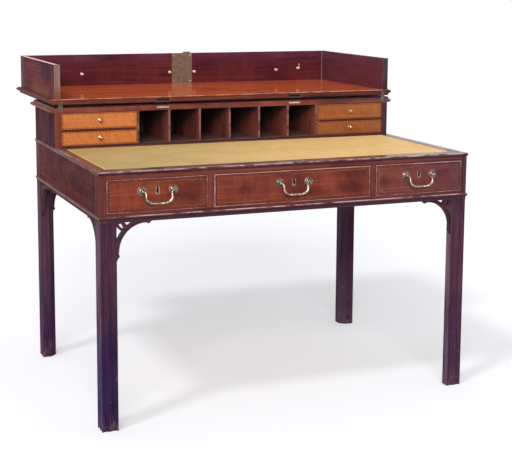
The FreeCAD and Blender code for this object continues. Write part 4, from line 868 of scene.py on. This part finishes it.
plank("lid_panel", "x", PANEL_TONES, flame=0.3, clouds=0.45, shine=0.08, smooth=0.08, rough=0.16,
      relief=0.00006, dulled=panel_dulled, paint=panel_paint)
for side, end_tones in END_GRAIN.items():
    plank(f"lid_wall_{side}", "y", CHEEK_TONES, shine=0.004, smooth=0.45, rough=0.6,
          wear_and_glint=(0.6, 0.42, 0.4), wear_and_glint_share=0.8, paint=partial(cheek_paint, end_tones=end_tones))
plank("lid_wall_front", "x", WALL_TONES, clouds=0.6, wear_and_glint=(0.42, 0.26, 0.27), paint=wall_paint)
for part in ("lid_lock", "lid_bolt"):
    finish_node(part, plate_brass)
finish_node("lid_studs", brass("stud_brass", (0.8, 0.58, 0.5), (0.58, 0.38, 0.32), 0.2, 0.4,
                               metal=0.5))
lock_low, lock_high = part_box("lid_lock")
SCREW_IN, SCREW_UP = 0.007, 0.008
screws("lid_lock_screws", "lid",
       [(x, lock_low[1], z) for x in (lock_low[0] + SCREW_IN, lock_high[0] - SCREW_IN)
        for z in (lock_low[2] + SCREW_UP, lock_high[2] - SCREW_UP)], forward=True)


# ---------- hinges and tenons
# Small brass stop hinges let in at the two ends, and two brass tenons that enter the mortise
# plates in the lid's edge and line it up when it is shut.
# Each fitting's brass: its bright and dull tones, its smooth and rough, how metallic it is, and
# the colour and the amount of its pale edges, which are worn and also painted highlights.
FITTINGS = {
    "hinge_leaves_lower": ("lower_hinge_brass", (0.13, 0.115, 0.075), (0.06, 0.048, 0.035),
        0.45, 0.6, 0.3, (0.4, 0.38, 0.27), 0.6),
    "hinge_leaves_upper": ("upper_hinge_brass", (0.115, 0.046, 0.03), (0.05, 0.022, 0.017),
        0.45, 0.6, 0.15, (0.2, 0.12, 0.09), 0.4),
    "tenons": ("tenon_brass", (0.66, 0.55, 0.48), (0.42, 0.33, 0.27), 0.25, 0.45, 0.5),
    "mortise_plates": ("mortise_brass", (0.06, 0.036, 0.03), (0.028, 0.018, 0.017),
        0.45, 0.6, 0.2, (0.8, 0.68, 0.52), 0.0),
}
for node, looks in FITTINGS.items():
    finish_node(node, brass(*looks))


# ---------- frieze drawers
# Mahogany fronts edged with a cock bead, crossbanded and strung with a fine chequer line, oak
# boxes, and cast brass bails on turned rosettes.
DRAWER_TONES = {
    "left": ((0.285, 0.062, 0.03), (0.165, 0.032, 0.018), (0.075, 0.016, 0.013)),
    "middle": ((0.27, 0.056, 0.03), (0.155, 0.029, 0.019), (0.054, 0.012, 0.013)),
    "right": ((0.29, 0.07, 0.046), (0.175, 0.04, 0.032), (0.066, 0.017, 0.018)),
}
# Each front's dark clouds: their place across and up, and their radius.
CLOUDS = {"left": ((-0.335, 0.705, 0.07),),
          "middle": ((-0.155, 0.702, 0.045), (0.195, 0.69, 0.06), (0.09, 0.725, 0.02)),
          "right": ((0.31, 0.696, 0.045), (0.52, 0.715, 0.03))}
COCK_BEAD_HIGHLIGHT = (0.52, 0.32, 0.28)
STRING_PALE, STRING_DARK = (0.37, 0.18, 0.095), (0.06, 0.02, 0.014)
BANDING_TINT = (0.86, 0.86, 0.9)
CLOUD_SQUASH, CLOUD_FADE, CLOUD_RAGGED = 1.6, 0.05, 0.09
# A string's distance from the edge, the width of its line and the length of its squares.
FRONT_STRING, SMALL_STRING = (0.011, 0.0018, 0.0046), (0.0036, 0.0026, 0.0056)


def string_inlay(tree, given):
    """A rectangle's banding, from how far a point lies inwards of its nearest edge.

    The line lies at the inset, its dashes are as long as their gaps, the band is all that lies
    outside it, and the rim is the bead round the edge.
    """
    in_across = minus(tree, given["Half Width"], apart(tree, given["Across"]))
    in_up = minus(tree, given["Half Height"], apart(tree, given["Up"]))
    inwards = reckon(tree, "MINIMUM", in_across, in_up)
    off_line = apart(tree, inwards, given["Inset"])
    line = ramp(tree, reckon(tree, "DIVIDE", off_line, given["String"]), 0.62, 0.38)
    beside = reckon(tree, "LESS_THAN", in_across, in_up)
    run = put(tree, "ShaderNodeMix", {"data_type": "FLOAT"}, _0=beside, _2=given["Across"],
              _3=given["Up"]).outputs[0]
    dashes = reckon(tree, "LESS_THAN", reckon(tree, "PINGPONG", run, given["Dash"]),
                    reckon(tree, "MULTIPLY", given["Dash"], 0.5))
    band = reckon(tree, "LESS_THAN", inwards, given["Inset"])
    return line, dashes, band, minus(tree, 1.0, ramp(tree, inwards, 0.0022, 0.0032))


inlay_group = new_group(
    "string_inlay",
    {"Across": 0.0, "Up": 0.0, "Half Width": 0.1, "Half Height": 0.05, "Inset": 0.01,
     "String": 0.0012, "Dash": 0.003},
    {"Line": "Float", "Dashes": "Float", "Band": "Float", "Rim": "Float"}, string_inlay)


def inlaid(tree, spot, node, inset, string, dash):
    """The banding masks of a drawer front, measured from the edges of its node."""
    low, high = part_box(node)
    x, _, z = heights(tree, spot)
    return effect(tree, inlay_group, Across=minus(tree, x, (low[0] + high[0]) / 2),
                  Up=minus(tree, z, (low[2] + high[2]) / 2), Half_Width=(high[0] - low[0]) / 2,
                  Half_Height=(high[2] - low[2]) / 2, Inset=inset, String=string, Dash=dash)


TAIL_PITCH, TAIL_HALF, TAIL_FLARE, LAP = 0.03, 0.0075, 0.22, 0.0085


def dovetailed(tree, colour, spot, node):
    """On the ends of a drawer front the oak sides' lapped dovetails show.

    A tail's half width grows from its root towards the front by TAIL_FLARE of the way.
    """
    low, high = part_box(node)
    _, y, z = heights(tree, spot)
    up = minus(tree, z, (low[2] + high[2]) / 2)
    half = plus(tree, TAIL_HALF,
                reckon(tree, "MULTIPLY", minus(tree, high[1], y), TAIL_FLARE))
    inside = minus(tree, half, reckon(tree, "PINGPONG", up, TAIL_PITCH / 2))
    on_end = times(tree, ramp(tree, apart(tree, facing(tree)[0]), 0.6, 0.8),
                   ramp(tree, y, low[1] + LAP, low[1] + LAP + 0.0003),
                   ramp(tree, apart(tree, up), TAIL_PITCH * 1.45, TAIL_PITCH * 1.44))
    oak = strip(tree, spot, "y", OAK, 0.1, 0.3)
    colour = laid(tree, colour, oak, on_end, ramp(tree, inside, -0.0002, 0.0002))
    gap = ramp(tree, apart(tree, inside), 0.0007, 0.0003)
    return laid(tree, colour, WAX_AND_SHADE, on_end, gap, 0.7)


def front_paint(tree, colour, spot, node, tones, clouded):
    """A frieze drawer's front: dark clouds, crossbanding, a chequer string and a cock bead painted
    pale as its highlight.

    A cloud is dark within its radius and fades beyond it, with its height squashed.
    """
    masks = inlaid(tree, spot, node, *FRONT_STRING)
    flat = put(tree, "ShaderNodeVectorMath", {"operation": "MULTIPLY"}, _0=spot,
               _1=(1, 0, CLOUD_SQUASH)).outputs[0]
    ragged = reckon(tree, "MULTIPLY", stretched_noise(tree, spot, (40, 1, 22), 4.0), CLOUD_RAGGED)
    for across, up, radius in clouded:
        away = put(tree, "ShaderNodeVectorMath", {"operation": "DISTANCE"}, _0=flat,
                   _1=(across, 0, up * CLOUD_SQUASH)).outputs["Value"]
        colour = laid(tree, colour, tones[2],
                      ramp(tree, plus(tree, away, ragged), radius + CLOUD_FADE, radius), 0.7)
    band = tinted(tree, strip(tree, spot, "z", tones, 0.5, 0.3), BANDING_TINT, 1.0)
    colour = laid(tree, colour, band, masks["Band"])
    string = laid(tree, STRING_PALE, STRING_DARK, masks["Dashes"])
    faint = times(tree, mottled(tree, spot, (14, 14, 14), 0.3, 0.66), 0.8)
    colour = laid(tree, colour, string, masks["Line"], faint)
    # Painted highlight: the cock bead round the edge is laid pale and pinkish.
    beaded = strip(tree, spot, "x", (COCK_BEAD_HIGHLIGHT, BEAD_TONES[0], BEAD_TONES[1]), 0.6, 0.4)
    colour = laid(tree, cooler(tree, colour, spot), beaded, masks["Rim"])
    return dovetailed(tree, colour, spot, node)


for drawer, tones in DRAWER_TONES.items():
    node = f"drawer_{drawer}_front"
    plank(node, "x", tones, flame=0.5, clouds=0.7, shine=0.07, smooth=0.18, rough=0.34,
          wear_and_glint=(0.5, 0.34, 0.32),
          paint=partial(front_paint, node=node, tones=tones, clouded=CLOUDS[drawer]))
    plank(f"drawer_{drawer}_box", "y", OAK, **BARE)
    finish_node(f"drawer_{drawer}_brasses", rosette_brass)
    for part in ("bail", "bolt"):
        finish_node(f"drawer_{drawer}_{part}", cast_brass)

# Half of a bail's middle line, from its pin down the swan neck and along to the middle of its
# grip: millimetres out from the bail's middle, up from its pins, and forward of them.
BAIL_LINE = np.array([
    (46.4, 0, 0), (43.8, -0.3, 0.4), (41.0, -3.4, 2.0), (39.4, -9.0, 4.4), (39.7, -15.0, 6.0),
    (39.0, -21.6, 6.8), (35.2, -28.2, 7.0), (28.6, -33.0, 7.0), (20.4, -35.4, 7.0),
    (12.0, -36.0, 7.0), (6.0, -36.0, 7.0), (0, -36.0, 7.0)]) / 1000
# Its radius at shares of that line, and the three collars turned on its grip: how far out they
# stand, half their length and their radius.
BAIL_RADIUS = np.array([
    (0, 2.3e-3), (0.1, 2.8e-3), (0.3, 4.0e-3), (0.5, 4.8e-3), (0.64, 4.8e-3), (0.72, 3.3e-3),
    (0.81, 4.7e-3), (0.9, 3.1e-3), (1.0, 3.1e-3)])
GRIP_RADIUS, GRIP_START = 0.0031, 0.8
COLLARS, COLLAR_HALF, COLLAR_RADIUS = (0.0, 0.0046), 0.0015, 0.0056
HALF_STEPS, RADIUS_STEPS, ROUND_STEPS, TIP_RADIUS = 150, 200, 20, 0.00002
# Where the pins are, forward and up, and the middle of each bail across.
BAIL_PINS, BAIL_MIDDLES = (-0.5476, 0.7135), {"left": -0.435, "middle": 0.0, "right": 0.435}


def through(points, count):
    """A smooth line through points: on each span the cubic a + b*u + c*u^2 + d*u^3 whose ends
    have the slopes (next - last) / 2, with u from 0 to 1."""
    padded = np.vstack([2 * points[0] - points[1], points, 2 * points[-1] - points[-2]])
    place = np.linspace(0, len(points) - 1, count)
    span = np.minimum(place.astype(int), len(points) - 2)
    u = (place - span)[:, None]
    before, start, end, after = (padded[span + k] for k in range(4))
    return start + 0.5 * u * (end - before + u * (
        2 * before - 5 * start + 4 * end - after + u * (3 * (start - end) + after - before)))


def bail_rings(middle):
    """Rings round a bail's line.

    The radius follows the smooth line through BAIL_RADIUS, and each collar rises from it as a
    half circle, r = radius + rise * sqrt(1 - (x / half)^2).
    """
    half = through(BAIL_LINE, HALF_STEPS)
    line = np.vstack([half * (-1, 1, 1), half[-2::-1]])
    heading = np.gradient(line, axis=0)
    pace = np.linalg.norm(heading, axis=1)
    heading = heading / pace[:, None]
    share = np.cumsum(pace) / np.sum(pace) * 2
    share = np.minimum(share, 2 - share)
    radius = np.interp(share, *through(BAIL_RADIUS, RADIUS_STEPS).T)
    for out in COLLARS:
        off = np.clip((np.abs(line[:, 0]) - out) / COLLAR_HALF, -1, 1)
        collar = GRIP_RADIUS + (COLLAR_RADIUS - GRIP_RADIUS) * np.sqrt(1 - off ** 2)
        radius = np.where(share > GRIP_START, np.maximum(radius, collar), radius)
    radius[0] = radius[-1] = TIP_RADIUS
    angle = np.linspace(0, 2 * math.pi, ROUND_STEPS, endpoint=False)
    side = np.cross(heading, (0.0, 0.0, 1.0))
    side /= np.linalg.norm(side, axis=1)[:, None]
    front = np.cross(side, heading)
    round_it = (side[:, None, :] * np.cos(angle)[None, :, None]
                + front[:, None, :] * np.sin(angle)[None, :, None]) * radius[:, None, None]
    place = line[:, None, :] + round_it
    return np.stack([middle + place[..., 0], BAIL_PINS[0] - place[..., 2],
                     BAIL_PINS[1] + place[..., 1]], axis=-1)[None]


for drawer, middle in BAIL_MIDDLES.items():
    bail = skin(f"bail_{drawer}_swan_neck", bail_rings(middle), cast_brass, f"bail_{drawer}")
    bail.data.shade_smooth()
    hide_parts(f"drawer_{drawer}_bail")


# ---------- small drawers
# Four satinwood fronts on thin oak boxes, crossbanded and strung with a dark chequer line,
# each with one turned brass knob.
SATINWOOD = {"left": ((0.68, 0.23, 0.066), (0.5, 0.145, 0.04), (0.29, 0.075, 0.022)),
             "right": ((0.38, 0.128, 0.038), (0.28, 0.083, 0.024), (0.15, 0.04, 0.014))}
BANDING_TONES = ((0.42, 0.13, 0.045), (0.27, 0.075, 0.03), (0.12, 0.032, 0.018))
SATIN_STRING, FRONT_THICK = (0.06, 0.022, 0.014), 0.01
knob_brass = brass("knob_brass", (0.56, 0.4, 0.26), (0.22, 0.13, 0.08), 0.12, 0.25, metal=0.9)


def satin_paint(tree, colour, spot, node, tones):
    """A small drawer: satinwood with a fiddleback figure, a dark chequer string and banding."""
    masks = inlaid(tree, spot, node, *SMALL_STRING)
    tilted = put(tree, "ShaderNodeMapping", Vector=spot, Rotation=(0, 0.55, 0)).outputs[0]
    colour = laid(tree, colour, tones[0],
                  mottled(tree, tilted, (95, 8, 15), 0.42, 0.64, 3.0, 0.55, 0.5), 0.45)
    band = strip(tree, spot, "z", BANDING_TONES, 0.4, 0.4)
    colour = laid(tree, colour, band, masks["Band"], 0.65)
    string = laid(tree, tones[1], SATIN_STRING, masks["Dashes"])
    colour = laid(tree, colour, string, masks["Line"], 0.8)
    inner = strip(tree, spot, "y", OAK, 0.1, 0.3)
    return laid(tree, inner, colour, front_edge(tree, spot, FRONT_THICK))


for side, tones in SATINWOOD.items():
    for level in ("lower", "upper"):
        drawer = f"small_{side}_{level}"
        plank(drawer, "x", tones, wood="satinwood", flame=0.5, clouds=0.35, shine=0.12,
              smooth=0.25, rough=0.4, wear_and_glint=BANDING_TONES[1],
              paint=partial(satin_paint, node=drawer, tones=tones))
        finish_node(f"{drawer}_knob", knob_brass)
